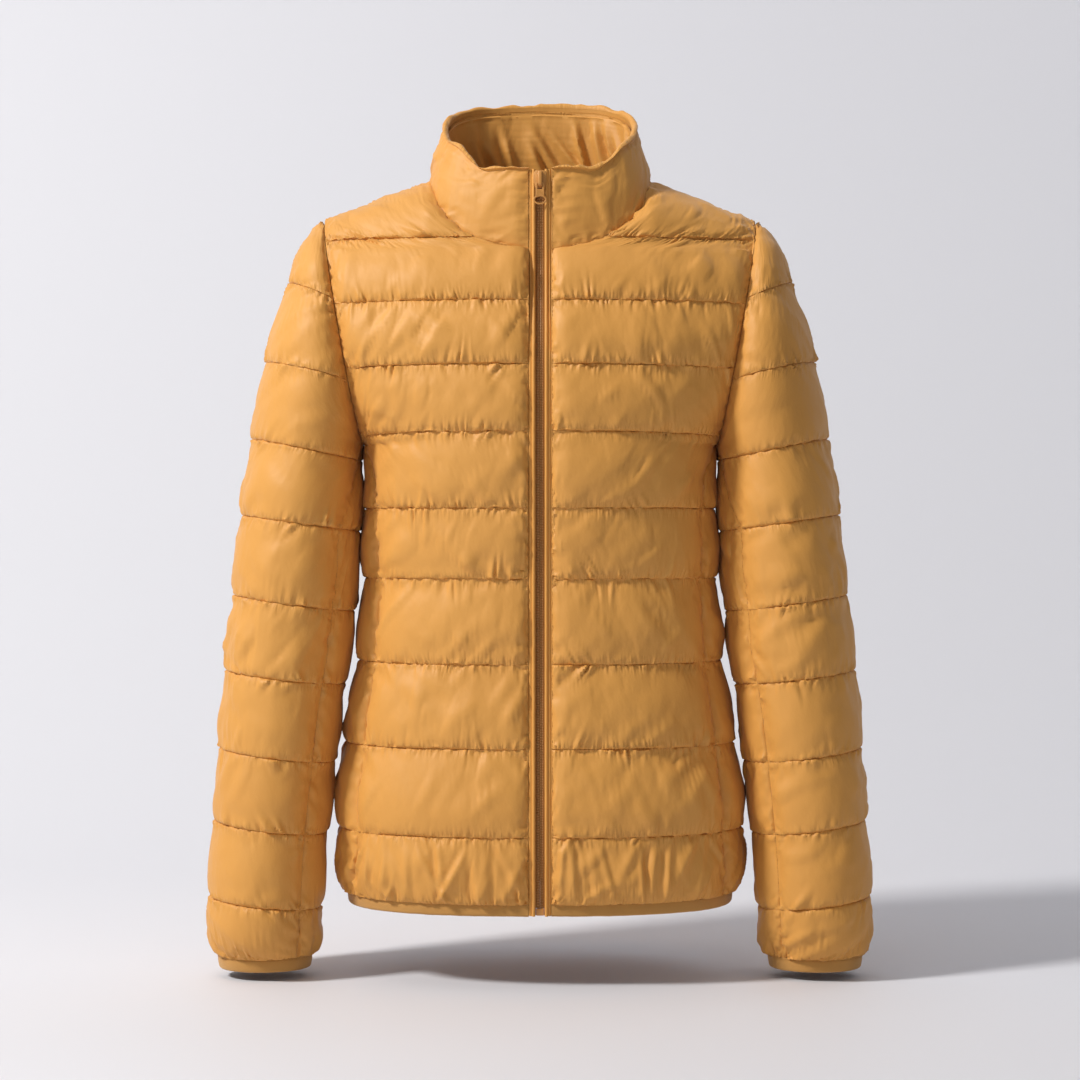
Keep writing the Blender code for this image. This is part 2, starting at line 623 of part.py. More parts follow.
def build_cuff_bindings():
    """The knit strip that gathers a sleeve's end."""
    turns = np.linspace(-1, 1, CUFF_SIDES + 1)[:-1]
    rows = []
    for z, spread in ((CUFF_TOP, 0.0), (CUFF_EDGE, -1.2)):
        row, _, _ = sleeve_row(float(SLEEVE_BAFFLES), turns)
        middle = row.mean(axis=0)
        row = row + unit(row - middle) * spread
        row[:, 2] = z
        rows.append(row)
    face = np.array(rows)
    away = unit((face - face.mean(axis=1, keepdims=True)) * np.array((1.0, 1.0, 0.0)))
    outer = face + away * (BINDING_WALL - BINDING_BEHIND)
    inner = face - away * BINDING_BEHIND
    wall("cuff_binding_left", inner, outer, "binding", closed=True)
    wall("cuff_binding_right", mirrored(inner), mirrored(outer), "binding", closed=True)


# ---- zip ----
def zip_line():
    """The fronts' inner face down the middle: points and outward normals in the YZ plane, from the hem to the top."""
    low = np.linspace(ZIP_BOTTOM, QUILTING[-3], ZIP_STATIONS)
    neck, top = neck_points()[0], collar_ring(np.array([0.0]))[0]
    half_way = (neck + top) / 2
    line = [(z, float(body_depth(0.0, z))) for z in low] + [(p[2], p[1]) for p in (neck, half_way, top)]
    line = np.array(line)
    z = np.concatenate((low, np.linspace(QUILTING[-3], top[2], 8)[1:]))
    points = np.stack((0 * z, smooth(z, line), z), axis=-1)
    along = unit(np.gradient(points, axis=0))
    normals = np.stack((0 * z, -along[:, 2], along[:, 1]), axis=-1)
    return points, normals


def sweep(name, section, points, normals, side, kind):
    """Carries a section up the zip; side is 1 for the wearer's left and -1 for the right."""
    rings = [[p + np.array((side * across, 0.0, 0.0)) + n * up for across, up in section]
             for p, n in zip(points, normals)]
    count = len(section)
    faces = [(r * count + c, r * count + (c + 1) % count, (r + 1) * count + (c + 1) % count, (r + 1) * count + c)
             for r in range(len(rings) - 1) for c in range(count)]
    faces += [tuple(range(count)), tuple((len(rings) - 1) * count + c for c in range(count))]
    return add_mesh(name, np.array(rings).reshape(-1, 3), faces, kind)


def build_zip_strips():
    points, normals = zip_line()
    above_box = points[:, 2] > ZIP_BOTTOM + BOX_SIZE[2]
    clear = points.copy()
    clear[0] = clear[0] + (clear[1] - clear[0]) * ((BOX_SIZE[2] + 0.4) / (clear[1, 2] - clear[0, 2]))
    keep = above_box | (np.arange(len(points)) == 0)
    for side, name in ((1, "left"), (-1, "right")):
        sweep(f"zip_band_{name}", BAND, points, normals, side, "nylon")
        sweep(f"zip_tape_{name}", TAPE, clear[keep], normals[keep], side, "tape")


def block(name, size, place, kind, bevel=0.3):
    """A box in millimetres with softened edges."""
    bpy.ops.mesh.primitive_cube_add(size=1.0)
    piece = bpy.context.object
    piece.name = piece.data.name = name
    piece.data.transform(matrix_scaled(size))
    piece.location = tuple(v * MM for v in place)
    for owner in list(piece.users_collection):
        owner.objects.unlink(piece)
    PIECES.objects.link(piece)
    piece.data.materials.append(material(kind))
    if bevel:
        soft = piece.modifiers.new("soft edges", "BEVEL")
        soft.width = bevel * MM
        soft.segments = 1
    return piece


def matrix_scaled(size):
    return Matrix.Diagonal((size[0] * MM, size[1] * MM, size[2] * MM, 1.0))


def outline(name, loops, thickness, kind, axis):
    """A flat plate from closed outlines in millimetres, its thickness along X or Y, with holes where loops lie inside."""
    curve = bpy.data.curves.new(name, "CURVE")
    curve.dimensions = "2D"
    curve.fill_mode = "BOTH"
    curve.extrude = thickness / 2 * MM
    for loop in loops:
        spline = curve.splines.new("POLY")
        spline.points.add(len(loop) - 1)
        spline.use_cyclic_u = True
        for point, (across, up) in zip(spline.points, loop):
            point.co = (across * MM, up * MM, 0.0, 1.0)
    shape = bpy.data.objects.new(name + "_outline", curve)
    PIECES.objects.link(shape)
    turn = (math.pi / 2, 0.0, 0.0) if axis == "Y" else (math.pi / 2, 0.0, math.pi / 2)
    shape.rotation_euler = turn
    bpy.context.view_layer.update()
    mesh = bpy.data.meshes.new_from_object(shape.evaluated_get(bpy.context.evaluated_depsgraph_get()))
    mesh.transform(shape.matrix_world)
    form = bmesh.new()
    form.from_mesh(mesh)
    bmesh.ops.remove_doubles(form, verts=form.verts, dist=0.00001)
    bmesh.ops.recalc_face_normals(form, faces=form.faces)
    form.to_mesh(mesh)
    form.free()
    bpy.data.objects.remove(shape, do_unlink=True)
    mesh.name = name
    mesh.materials.clear()
    mesh.materials.append(material(kind))
    piece = bpy.data.objects.new(name, mesh)
    PIECES.objects.link(piece)
    return piece


def join_solid(piece, others):
    """Unites other solids with a piece, and removes them."""
    for other in others:
        union = piece.modifiers.new("union", "BOOLEAN")
        union.operation = "UNION"
        union.object = other
    bpy.context.view_layer.update()
    mesh = bpy.data.meshes.new_from_object(piece.evaluated_get(bpy.context.evaluated_depsgraph_get()))
    piece.modifiers.clear()
    piece.data = mesh
    for other in others:
        bpy.data.objects.remove(other, do_unlink=True)


def arc(middle, radius_across, radius_up, start, stop, steps):
    """Points along an oval arc, angles in degrees."""
    turns = np.radians(np.linspace(start, stop, steps))
    return [(middle[0] + radius_across * math.cos(a), middle[1] + radius_up * math.sin(a)) for a in turns]


def slider_frame():
    """The lean of the zip at the slider, and the slider's top point on the fronts' inner face."""
    points, normals = zip_line()
    top, low = points[-1], points[-2]
    lean = math.atan2(top[1] - low[1], top[2] - low[2])
    place = top + (low - top) * ((top[2] - SLIDER_TOP) / (top[2] - low[2]))
    return lean, place


def build_slider():
    """Body plate, block over the coils and the crown that holds the tab. Made upright, then leaned with the zip."""
    lean, place = slider_frame()
    wide, narrow = (w / 2 for w in SLIDER_WIDTH)
    low, high = SLIDER_PLATE
    plate = outline("zip_slider", [[(-wide * 0.7, 0.0), (wide * 0.7, 0.0), (wide, -3.0), (wide, -8.0),
                                    (narrow, -SLIDER_LENGTH), (-narrow, -SLIDER_LENGTH), (-wide, -8.0), (-wide, -3.0)]],
                    high - low, "metal", "Y")
    plate.data.transform(shift_matrix(0.0, -(low + high) / 2, 0.0))
    post_width, post_low = SLIDER_POST
    post = block("post", (post_width, low - post_low + 0.6, SLIDER_LENGTH - 2.0),
                 (0.0, -(low + 0.6 + post_low) / 2, -SLIDER_LENGTH / 2), "metal", 0)
    pin = pin_height()
    tall = pin + CROWN_HOLE + CROWN_WALL
    bar = [(-high + 0.5, -0.8), (-tall + 0.8, -1.6), (-tall, -3.0), (-tall, -PIN_DROP - 1.2),
           (-tall + 1.2, -PIN_DROP - 2.6), (-high + 0.5, -PIN_DROP - 3.0)]
    window = arc((-pin, -PIN_DROP), CROWN_HOLE, CROWN_HOLE, 0, 330, 12)
    crown = outline("crown", [bar, window], CROWN_WIDTH, "metal", "X")
    join_solid(plate, [post, crown])
    plate.data.transform(lean_matrix(lean))
    plate.location = tuple(place * MM)
    return plate


def pin_height():
    """The tab's axis over the fronts' inner face."""
    return SLIDER_PLATE[1] + CROWN_HOLE + 0.1


def shift_matrix(x, y, z):
    return Matrix.Translation((x * MM, y * MM, z * MM))


def lean_matrix(lean):
    return Matrix.Rotation(-lean, 4, "X")


def pin_place():
    """World place of the tab's axis."""
    lean, place = slider_frame()
    y, z = -pin_height(), -PIN_DROP
    turned = (y * math.cos(lean) + z * math.sin(lean), -y * math.sin(lean) + z * math.cos(lean))
    return place + np.array((0.0, turned[0], turned[1]))


def build_pull():
    """The tab hangs straight down from its pin, with a window for the crown and a ring at its end."""
    half, bar = TAB_NECK / 2, TAB_THICK / 2
    ring_z = -TAB_LENGTH + TAB_RING[1] / 2
    body = [(half, bar - 0.5), (half - 0.5, bar), (-half + 0.5, bar), (-half, bar - 0.5), (-half, ring_z + 2.8)]
    body += arc((0.0, ring_z), TAB_RING[0] / 2, TAB_RING[1] / 2, 150, 390, 17)
    body += [(half, ring_z + 2.8)]
    slot = CROWN_WIDTH / 2 + 0.5
    window = [(-slot, -bar), (slot, -bar), (slot, -bar - TAB_SLOT), (-slot, -bar - TAB_SLOT)]
    hole = arc((0.0, ring_z), TAB_RING_HOLE[0] / 2, TAB_RING_HOLE[1] / 2, 0, 338, 16)
    tab = outline("zip_pull", [body, window, hole], TAB_THICK, "metal", "Y")
    tab.location = tuple(pin_place() * MM)
    return tab


def build_box():
    points, _ = zip_line()
    across, deep, tall = BOX_SIZE
    foot = points[0]
    block("zip_box", BOX_SIZE, (0.0, foot[1] - 0.4, ZIP_BOTTOM + tall / 2), "metal", 0.5)


clear_scene()
PIECES = collection("puffer_jacket")
build_fronts()
build_back()
build_sleeves()
build_collar()
build_hem_binding()
build_cuff_bindings()
build_zip_strips()
build_slider()
build_pull()
build_box()
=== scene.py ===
"""Looks of the light down jacket: quilted nylon, bindings, zip, floor and studio light.

The jacket faces -Y, the wearer's right is at -X and +Z is up. The origin is the middle of the neck's base.
Lengths are in millimetres until a mesh is made.
"""
import math

import bmesh
import bpy
import numpy as np
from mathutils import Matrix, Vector


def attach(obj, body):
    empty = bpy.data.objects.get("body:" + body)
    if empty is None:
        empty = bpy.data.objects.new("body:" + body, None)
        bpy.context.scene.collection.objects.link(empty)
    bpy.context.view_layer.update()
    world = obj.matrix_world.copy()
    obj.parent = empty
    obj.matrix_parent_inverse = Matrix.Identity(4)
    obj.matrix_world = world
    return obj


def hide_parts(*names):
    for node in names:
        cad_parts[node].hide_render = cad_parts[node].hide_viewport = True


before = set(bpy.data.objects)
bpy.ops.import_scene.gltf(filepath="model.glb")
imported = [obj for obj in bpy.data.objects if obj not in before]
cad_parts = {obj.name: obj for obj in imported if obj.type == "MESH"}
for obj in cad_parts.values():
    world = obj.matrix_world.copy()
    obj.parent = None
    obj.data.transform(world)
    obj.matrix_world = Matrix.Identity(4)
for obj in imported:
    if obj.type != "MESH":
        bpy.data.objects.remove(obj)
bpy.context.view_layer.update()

MM = 0.001

# ---- cloth ----
ARMHOLE_INSET = 0.5      # how far out a sleeve's mouth lies from the armhole
STITCHED = 2.5           # thickness of the wall along a line of quilting
SEAM_TURN = 32.0         # how far from an armhole the wall's thickness still leans as the seam's does
BODY_PUFF = 6.8          # what a baffle of the body adds between two lines
SLEEVE_PUFF = 4.4
CUFF_PUFF = 6.5          # the last baffle of a sleeve, gathered into its binding
PUFF_POWER = 0.88        # below 1, a baffle is fuller towards its lines
PUFF_STEP = 0.14         # share of its height that rises at once beside a line
PUFF_SAG = 0.70          # below 1, its crown hangs towards its lower line

# ---- body: heights ----
HEM_EDGE = -618.0
BINDING_TOP = -608.0
ARMPIT = -224.0
YOKE = -56.0             # the highest line of quilting
CHEST_TURN = -200.0      # above this the body rounds over to the shoulders
QUILTING = (BINDING_TOP, -553.0, -481.0, -411.0, -340.0, -281.0, -218.0, -163.0, -110.0, YOKE)

# ---- body: inner girth; columns: height, half width, front depth, back depth ----
GIRTH = np.array((
    (HEM_EDGE, 162.5, 105.0, 105.5),
    (BINDING_TOP, 163.5, 106.0, 107.0),
    (-553.0, 169.0, 109.5, 111.0),
    (-481.0, 162.0, 103.5, 104.0),
    (-411.0, 151.5, 98.0, 92.0),
    (-340.0, 146.5, 98.5, 85.0),
    (-281.0, 146.5, 105.0, 91.0),
    (-255.0, 145.0, 107.0, 95.0),
    (-238.0, 147.5, 108.5, 98.0),
    (ARMPIT, 150.0, 109.0, 101.0),
    (-204.0, 157.0, 109.0, 102.5),
    (-170.0, 178.0, 109.0, 104.0),
    (-115.0, 200.0, 109.0, 104.0),
    (-60.0, 197.0, 109.0, 104.0),
    (10.0, 196.0, 109.0, 104.0),
))
SQUARE = 2.5             # power of the body's oval section

# ---- side seam: how far out it lies, as a share of the half width; columns: height, share ----
SIDE_SEAM = np.array((
    (BINDING_TOP, 0.935), (-553.0, 0.895), (-481.0, 0.900), (-411.0, 0.905), (-340.0, 0.912),
    (-290.0, 0.917), (-262.0, 0.935), (-243.0, 0.960), (ARMPIT, 0.990),
))

# ---- neck and shoulder ----
NECK_HALF = 92.5
SHOULDER_TIP = (186.0, 0.0, -36.0)
BACK_NECK = (68.0, 6.0)  # depth and height of the nape
NECK_LEAN = 0.45         # how far the neck seam's rim leans up
RIDGE_NORMAL = np.array((0.356, 0.0, 0.934))
ZIP_EDGE = 9.3           # the fronts and the collar stop here beside the zip
# columns: distance from the middle, height of the front neckline
NECKLINE = np.array((
    (0.0, -67.5), (20.0, -65.5), (38.0, -60.5), (52.0, -56.0), (62.5, -50.3), (75.0, -40.3), (84.5, -26.9),
    (89.7, -12.5), (NECK_HALF, 0.0),
))

# ---- armhole: a tilted oval ----
ARM_MIDDLE = np.array((169.0, -8.0, -130.0))
ARM_REACH = np.array((17.0, 8.0, 94.0))     # from the middle up to the shoulder tip
ARM_DEPTH = 62.0

# ---- sleeve: head rows meet the armhole; columns: row, outer x, outer z, armhole angle in degrees ----
SLEEVE_HEAD = np.array((
    (0.0, 187.6, -36.0, 14.0),
    (0.5, 201.5, -58.0, 47.0),
    (1.0, 212.5, -88.0, 75.0),
    (2.0, 232.5, -156.0, 117.0),
    (2.75, 241.5, -205.0, 180.0),
))
# ---- sleeve: tube rows ----
# columns: row, outer x, outer z, inner x, inner z, half depth, middle y, tilt y, seam turn
SLEEVE_TUBE = np.array((
    (2.75, 241.5, -205.0, 153.6, ARMPIT, 69.5, -8.0, 8.0, 0.0),
    (3.0, 243.8, -222.0, 157.6, -239.0, 69.0, -9.5, 7.0, 6.0),
    (4.0, 251.7, -287.0, 160.5, -300.0, 66.0, -15.0, 2.0, 26.0),
    (5.0, 258.0, -355.0, 165.5, -368.0, 62.0, -19.5, 0.0, 38.0),
    (6.0, 264.5, -419.0, 173.0, -430.0, 58.5, -22.0, 0.0, 44.0),
    (7.0, 269.5, -485.0, 180.0, -496.0, 55.0, -25.0, 0.0, 46.0),
    (8.0, 273.5, -546.0, 186.5, -557.0, 51.5, -28.0, 0.0, 46.0),
    (9.0, 276.5, -610.0, 192.0, -620.0, 48.0, -31.0, 0.0, 44.0),
    (10.0, 271.5, -659.5, 198.0, -660.5, 31.5, -33.0, 0.0, 40.0),
))
ARMPIT_ROW = 2.75
UNDERARM_TURN = 0.75     # how far the underarm seam is turned to the front
ARMPIT_NORMAL = np.array((0.0, 0.0, -1.0))
SLEEVE_BAFFLES = 10
HEAD_TURN_POWER = 1.77   # how fast a head row opens from a full ring to a half ring
CUFF_TOP = -661.1
CUFF_EDGE = -671.5

# ---- collar; columns: angle from the front in degrees, height of the top edge ----
COLLAR_TOP = np.array((
    (0.0, 1.5), (14.0, 2.0), (27.0, 0.5), (42.0, 11.0), (52.0, 21.0), (72.0, 33.0), (90.0, 49.0),
    (125.0, 68.0), (150.0, 75.0), (180.0, 78.0),
))
COLLAR_HALF = 79.5
COLLAR_FRONT = 76.0
COLLAR_BACK = 62.0
COLLAR_WALL = (2.6, 4.8, 5.8, 5.0, 3.0)      # thickness from the neck seam to the top edge

# ---- bindings ----
BINDING_WALL = 4.4

# ---- zip ----
ZIP_BOTTOM = -617.5
ZIP_STATIONS = 18
BOX_SIZE = (6.6, 3.6, 6.0)
SLIDER_TOP = 0.0


# ---- small tools ----
def smooth(x, table, column=1):
    """The column's value at x on a smooth curve through the table's rows, sorted by their first column."""
    xs, ys = table[:, 0], table[:, column]
    if xs[0] > xs[-1]:
        xs, ys = xs[::-1], ys[::-1]
    steps = np.diff(ys) / np.diff(xs)
    slopes = np.zeros(len(xs))
    same_way = steps[1:] * steps[:-1] > 0
    slopes[1:-1][same_way] = 2.0 / (1.0 / steps[1:][same_way] + 1.0 / steps[:-1][same_way])
    slopes[0], slopes[-1] = steps[0], steps[-1]
    at = np.clip(x, xs[0], xs[-1])
    k = np.clip(np.searchsorted(xs, at) - 1, 0, len(xs) - 2)
    width = xs[k + 1] - xs[k]
    t = (at - xs[k]) / width
    return ((2 * t**3 - 3 * t**2 + 1) * ys[k] + (t**3 - 2 * t**2 + t) * width * slopes[k]
            + (3 * t**2 - 2 * t**3) * ys[k + 1] + (t**3 - t**2) * width * slopes[k + 1])


def unit(v):
    """Vectors of length 1 the same way."""
    return v / np.maximum(np.linalg.norm(v, axis=-1, keepdims=True), 1e-9)


def grid_normals(grid):
    """Unit normals of a grid of points, from its own rows and columns."""
    return unit(np.cross(np.gradient(grid, axis=1), np.gradient(grid, axis=0)))


def turned_to_edge(normals, grid, rows, col, reach=SEAM_TURN):
    """Turns normals near an edge column towards that column's own, so that walls in a corner stay apart."""
    step = 1 if col == 0 else -1
    ordered = range(col, grid.shape[1] * step + col, step)
    away = np.zeros(len(grid))
    before = col
    for at in ordered:
        away += np.linalg.norm(grid[:, at] - grid[:, before], axis=-1)
        share = np.clip(away / reach, 0, 1)[:, None]
        share = share * share * (3 - 2 * share)
        turned = unit(normals[:, col] * (1 - share) + normals[:, at] * share)
        normals[rows, at] = turned[rows]
        before = at
    return normals


def mirrored(grid):
    """The same points on the jacket's other side."""
    return grid * np.array((-1.0, 1.0, 1.0))


def puff(t):
    """How full a baffle is from its lower line of quilting (0) to its upper one (1): fullest low down."""
    step = 1 - np.exp(-np.minimum(t, 1 - t) / 0.014)
    return (1 - PUFF_STEP) * np.sin(np.clip(t, 0, 1) ** PUFF_SAG * math.pi) ** PUFF_POWER + PUFF_STEP * step


def oval(share, power=SQUARE):
    """Depth share of an oval section at a share of its half width."""
    return (1 - np.clip(np.abs(share), 0, 1) ** power) ** (1 / power)


def shoulder_height(x):
    """The jacket's upper edge over x: the neck's base, then the sloping shoulder."""
    fall = SHOULDER_TIP[2] / (SHOULDER_TIP[0] - NECK_HALF)
    return fall * np.maximum(np.abs(x) - NECK_HALF, 0)


def back_top(x):
    """Depth and height of the back's upper edge over x."""
    share = np.abs(x) / NECK_HALF
    return BACK_NECK[0] * oval(share), shoulder_height(x) + BACK_NECK[1] * np.clip(1 - share**2, 0, 1)


def body_depth(x, z, behind=False):
    """y of the body's inner face at x and z, on the front or behind."""
    share = x / smooth(z, GIRTH, 1)
    if behind:
        top_y, top_z = back_top(x)
        deep = smooth(z, GIRTH, 3) * oval(share)
    else:
        top_y, top_z = 0.0, shoulder_height(x)
        deep = smooth(z, GIRTH, 2) * oval(share)
    turn = np.clip((z - CHEST_TURN) / (top_z - CHEST_TURN), 0, 1)
    y = top_y + (deep - top_y) * np.sqrt(1 - turn**2)
    return y if behind else -y


def body_ring(angle, z):
    """Points of the body's inner face at an angle from the middle of the front, in radians."""
    x = smooth(z, GIRTH, 1) * np.abs(np.sin(angle)) ** (2 / SQUARE)
    front = body_depth(x, z)
    behind = body_depth(x, z, behind=True)
    return np.stack((x, np.where(angle < math.pi / 2, front, behind), z + 0 * x), axis=-1)


def ring_angle(share):
    """The body's ring angle, up to the side, at a share of its half width."""
    return np.arcsin(np.clip(share, 0, 1) ** (SQUARE / 2))


def side_angle(depth_share):
    """The body's ring angle, up to the side, at a share of its depth."""
    return np.arccos(np.clip(depth_share, 0, 1) ** (SQUARE / 2))


def armhole(angle, side):
    """A point of the armhole; angle 0 is the shoulder tip and pi the armpit, side -1 in front, 1 behind."""
    turn = np.stack((0 * angle, side * ARM_DEPTH * np.sin(angle), 0 * angle), axis=-1)
    return ARM_MIDDLE + ARM_REACH * np.cos(angle)[..., None] + turn


def armhole_normal(angle, side):
    """The way that the wall's thickness points along the armhole, shared by the body and the sleeve."""
    lean = np.stack((0 * angle, side * np.sin(angle) * ARM_REACH[2], np.cos(angle) * ARM_DEPTH), axis=-1)
    return unit(lean)


def armhole_angle(z):
    """The armhole's angle at a height."""
    return np.arccos(np.clip((z - ARM_MIDDLE[2]) / ARM_REACH[2], -1, 1))


def panel_heights():
    """Heights of a panel's level fine rows, from the hem up to the highest line of quilting."""
    steps = [low + (high - low) * SHARES[1:] for low, high in zip(QUILTING, QUILTING[1:])]
    heights = np.concatenate(([QUILTING[0]], *steps))
    for level in (ARMPIT, NECKLINE[0, 1]):
        heights[np.abs(heights - level).argmin()] = level
    return heights


def panel_grid(shares, behind):
    """Half of the body's front or back for x > 0: points and seam normals, row by row from the hem."""
    rows, normals = [], []
    side = 1 if behind else -1
    for z in panel_heights():
        half = smooth(z, GIRTH, 1)
        if z < ARMPIT:
            seam = ring_angle(smooth(z, SIDE_SEAM))
            edge = body_ring(np.array([seam]), z)[0]
            slope = body_ring(np.array([seam + 0.05]), z)[0] - body_ring(np.array([seam - 0.05]), z)[0]
            normal = unit(np.array((slope[1], -slope[0], 0.0)))
        else:
            at = np.array(armhole_angle(z))
            edge = armhole(at, side)
            deep = smooth(z, GIRTH, 3 if behind else 2)
            seam = (ring_angle(edge[0] / half) + side_angle(np.abs(edge[1]) / deep)) / 2
            normal = armhole_normal(at, side)
        middle = math.pi if behind else ring_angle(neck_edge(z) / half)
        end = math.pi - seam if edge[1] > 0 else seam
        row = body_ring(middle + (end - middle) * shares, z)
        row += (edge - row[-1]) * (shares**4)[:, None]
        rows.append(row)
        normals.append(normal)
    start = rows[-1][:, 0]
    fractions = (start - start[0]) / (start[-1] - start[0])
    for t in SHARES[1:]:
        at = np.array(armhole_angle(YOKE + t * (SHOULDER_TIP[2] - YOKE)))
        edge = armhole(at, side)
        low = 0.0 if behind else neck_edge(YOKE * (1 - t))
        x = low + fractions * (edge[0] - low)
        if behind:
            x = x * (1 - t) + back_top_places(shares, edge[0]) * t
            x[0] = 0.0
            height = back_top(x)[1]
        else:
            height = shoulder_height(x)
        z = YOKE + t * (height - YOKE)
        row = np.stack((x, body_depth(x, z, behind), z), axis=-1)
        row += (edge - row[-1]) * (shares**4)[:, None]
        rows.append(row)
        normals.append(armhole_normal(at, side))
    return np.array(rows), np.array(normals)


def neck_edge(z):
    """How far out the front starts at a height: beside the zip, or on the neckline."""
    return max(ZIP_EDGE, float(np.interp(z, NECKLINE[:, 1], NECKLINE[:, 0])))


def back_top_places(shares, tip):
    """x of each column of the back's upper edge: round the neck to its side, then to the shoulder tip."""
    round_neck = NECK_HALF * np.sin(np.clip(shares / BACK_NECK_SHARE, 0, 1) * math.pi / 2) ** (2 / SQUARE)
    out_to_tip = np.interp(shares, (BACK_NECK_SHARE, 1), (NECK_HALF, tip))
    return np.where(shares <= BACK_NECK_SHARE, round_neck, out_to_tip)


def neck_normal(point):
    """The way that the wall's thickness points along the neck seam, shared by the panels and the collar."""
    x, y = point[..., 0], point[..., 1]
    lean = np.stack((x / NECK_HALF**2, y / BACK_NECK[0]**2, 0 * x), axis=-1)
    return unit(unit(lean) + np.array((0.0, 0.0, NECK_LEAN)))


def body_fullness(grid):
    """Share of its fullness that the body keeps: it is flatter where it presses on the sleeves."""
    x, z = np.abs(grid[..., 0]), grid[..., 2]
    near = np.exp(-((z + 245.0) / 32.0) ** 2) * np.clip((x - 105.0) / 40.0, 0, 1)
    return 1 - 0.3 * near


def thinned(grid):
    """Share of their thickness that the walls keep: they are pressed thin where they meet in the armpit."""
    x, z = np.abs(grid[..., 0]), grid[..., 2]
    near = np.exp(-((z + 220.0) / 24.0) ** 2) * np.exp(-((x - 153.0) / 12.0) ** 2)
    return 1 - 0.6 * near


def sleeve_row(s, turns):
    """One row of a sleeve's inner face: its points, and its two edge normals, for x > 0."""
    if s < ARMPIT_ROW:
        outer_tip = np.array((smooth(s, SLEEVE_HEAD, 1), 0.0, smooth(s, SLEEVE_HEAD, 2)))
        at = np.radians(smooth(s, SLEEVE_HEAD, 3))
        turn = math.pi / 2 * (1 + (at / math.pi) ** HEAD_TURN_POWER)
        mouth = ARM_MIDDLE + ARM_REACH * math.cos(at) + np.array((ARMHOLE_INSET, 0.0, 0.0))
        reach = (outer_tip - mouth) / (1 - math.cos(turn))
        middle = outer_tip - reach
        depth = ARM_DEPTH * math.sin(at) / math.sin(turn)
        shift = 0.0
        ends = (armhole_normal(np.array(at), 1), armhole_normal(np.array(at), -1))
    else:
        _, ox, oz, ix, iz, depth, middle_y, tilt, shift = (smooth(s, SLEEVE_TUBE, c) for c in range(9))
        middle = np.array(((ox + ix) / 2, middle_y, (oz + iz) / 2))
        reach = np.array(((ox - ix) / 2, tilt, (oz - iz) / 2))
        turn = math.pi
        ends = (ARMPIT_NORMAL, ARMPIT_NORMAL) if s == ARMPIT_ROW else None
    psi = turns * turn - math.radians(shift)
    deep = np.stack((0 * psi, -depth * np.sin(psi), 0 * psi), axis=-1)
    row = middle + reach * np.cos(psi)[:, None] + deep
    return row, ends, psi


def soft_sleeve_row(s, turns):
    """A sleeve's row, with the form eased over where the sleeve head ends and the tube starts."""
    row, ends, psi = sleeve_row(s, turns)
    reach = 0.5 * max(0.0, 1 - abs(s - ARMPIT_ROW) / 0.85)
    if reach > 0:
        mean = np.mean([sleeve_row(s + reach * d, turns)[0] for d in np.linspace(-1, 1, 9)], axis=0)
        row = row + (mean - row) * (1 - turns**8)[:, None]
    return row, ends, psi


def collar_ring(angle):
    """The collar's top edge at an angle from the front, in radians."""
    x = COLLAR_HALF * np.abs(np.sin(angle)) ** (2 / SQUARE)
    deep = np.where(angle < math.pi / 2, -COLLAR_FRONT, COLLAR_BACK) * np.abs(np.cos(angle)) ** (2 / SQUARE)
    return np.stack((x, deep, smooth(np.degrees(angle), COLLAR_TOP)), axis=-1)


def zip_line():
    """The fronts' inner face up the middle: points and outward normals, which lie in the YZ plane."""
    low = np.linspace(ZIP_BOTTOM, QUILTING[-3], ZIP_STATIONS)
    neck, top = neck_points()[0], collar_ring(np.array([0.0]))[0]
    half_way = (neck + top) / 2
    line = [(z, float(body_depth(0.0, z))) for z in low] + [(p[2], p[1]) for p in (neck, half_way, top)]
    line = np.array(line)
    z = np.concatenate((low, np.linspace(QUILTING[-3], top[2], 8)[1:]))
    points = np.stack((0 * z, smooth(z, line), z), axis=-1)
    along = unit(np.gradient(points, axis=0))
    normals = np.stack((0 * z, -along[:, 2], along[:, 1]), axis=-1)
    return points, normals


# ---- fine grids; the fine rows of one baffle come first, as shares of its height ----
HALF_SHARES = (0.0, 0.013, 0.032, 0.058, 0.09, 0.13, 0.18, 0.235, 0.295, 0.36, 0.43)
SHARES = np.array(HALF_SHARES + (0.5,) + tuple(1 - s for s in HALF_SHARES[::-1]))
FINE_ROWS = len(SHARES) - 1
FRONT_COLUMNS = 176
BACK_COLUMNS = 150  # on each side of the middle
SLEEVE_COLUMNS = 184
INNER_STEP = 4       # the plain inner side keeps one grid row in this many
COLLAR_ROWS = 42
SETTLE_STEPS = 260
BACK_NECK_SHARE = 0.48
NECK_STITCH = 3.2                    # how far stitches run beside the neck seam
ZIP_STITCH = 0.8                     # and beside the zip
NOISE_CELLS = 61
ROUNDER = 1.16                       # a round puff is this much higher than the solids' flatter one
SLEEVE_ROUNDER = 1.08                # and a sleeve's once more
SLEEVE_LIFT = 0.4                    # the sleeve's stitches lie this much shallower


def cloud(rng, u, v):
    """Soft random values from -1 to 1 at places u and v, which count in cells of the pattern."""
    values = rng.uniform(-1, 1, (NOISE_CELLS, NOISE_CELLS))
    i, j = np.floor(u).astype(int), np.floor(v).astype(int)
    s, t = u - i, v - j
    s, t = s * s * (3 - 2 * s), t * t * (3 - 2 * t)
    i, j, k, m = i % NOISE_CELLS, j % NOISE_CELLS, (i + 1) % NOISE_CELLS, (j + 1) % NOISE_CELLS
    below, above = values[i, j] * (1 - s) + values[k, j] * s, values[i, m] * (1 - s) + values[k, m] * s
    return below * (1 - t) + above * t


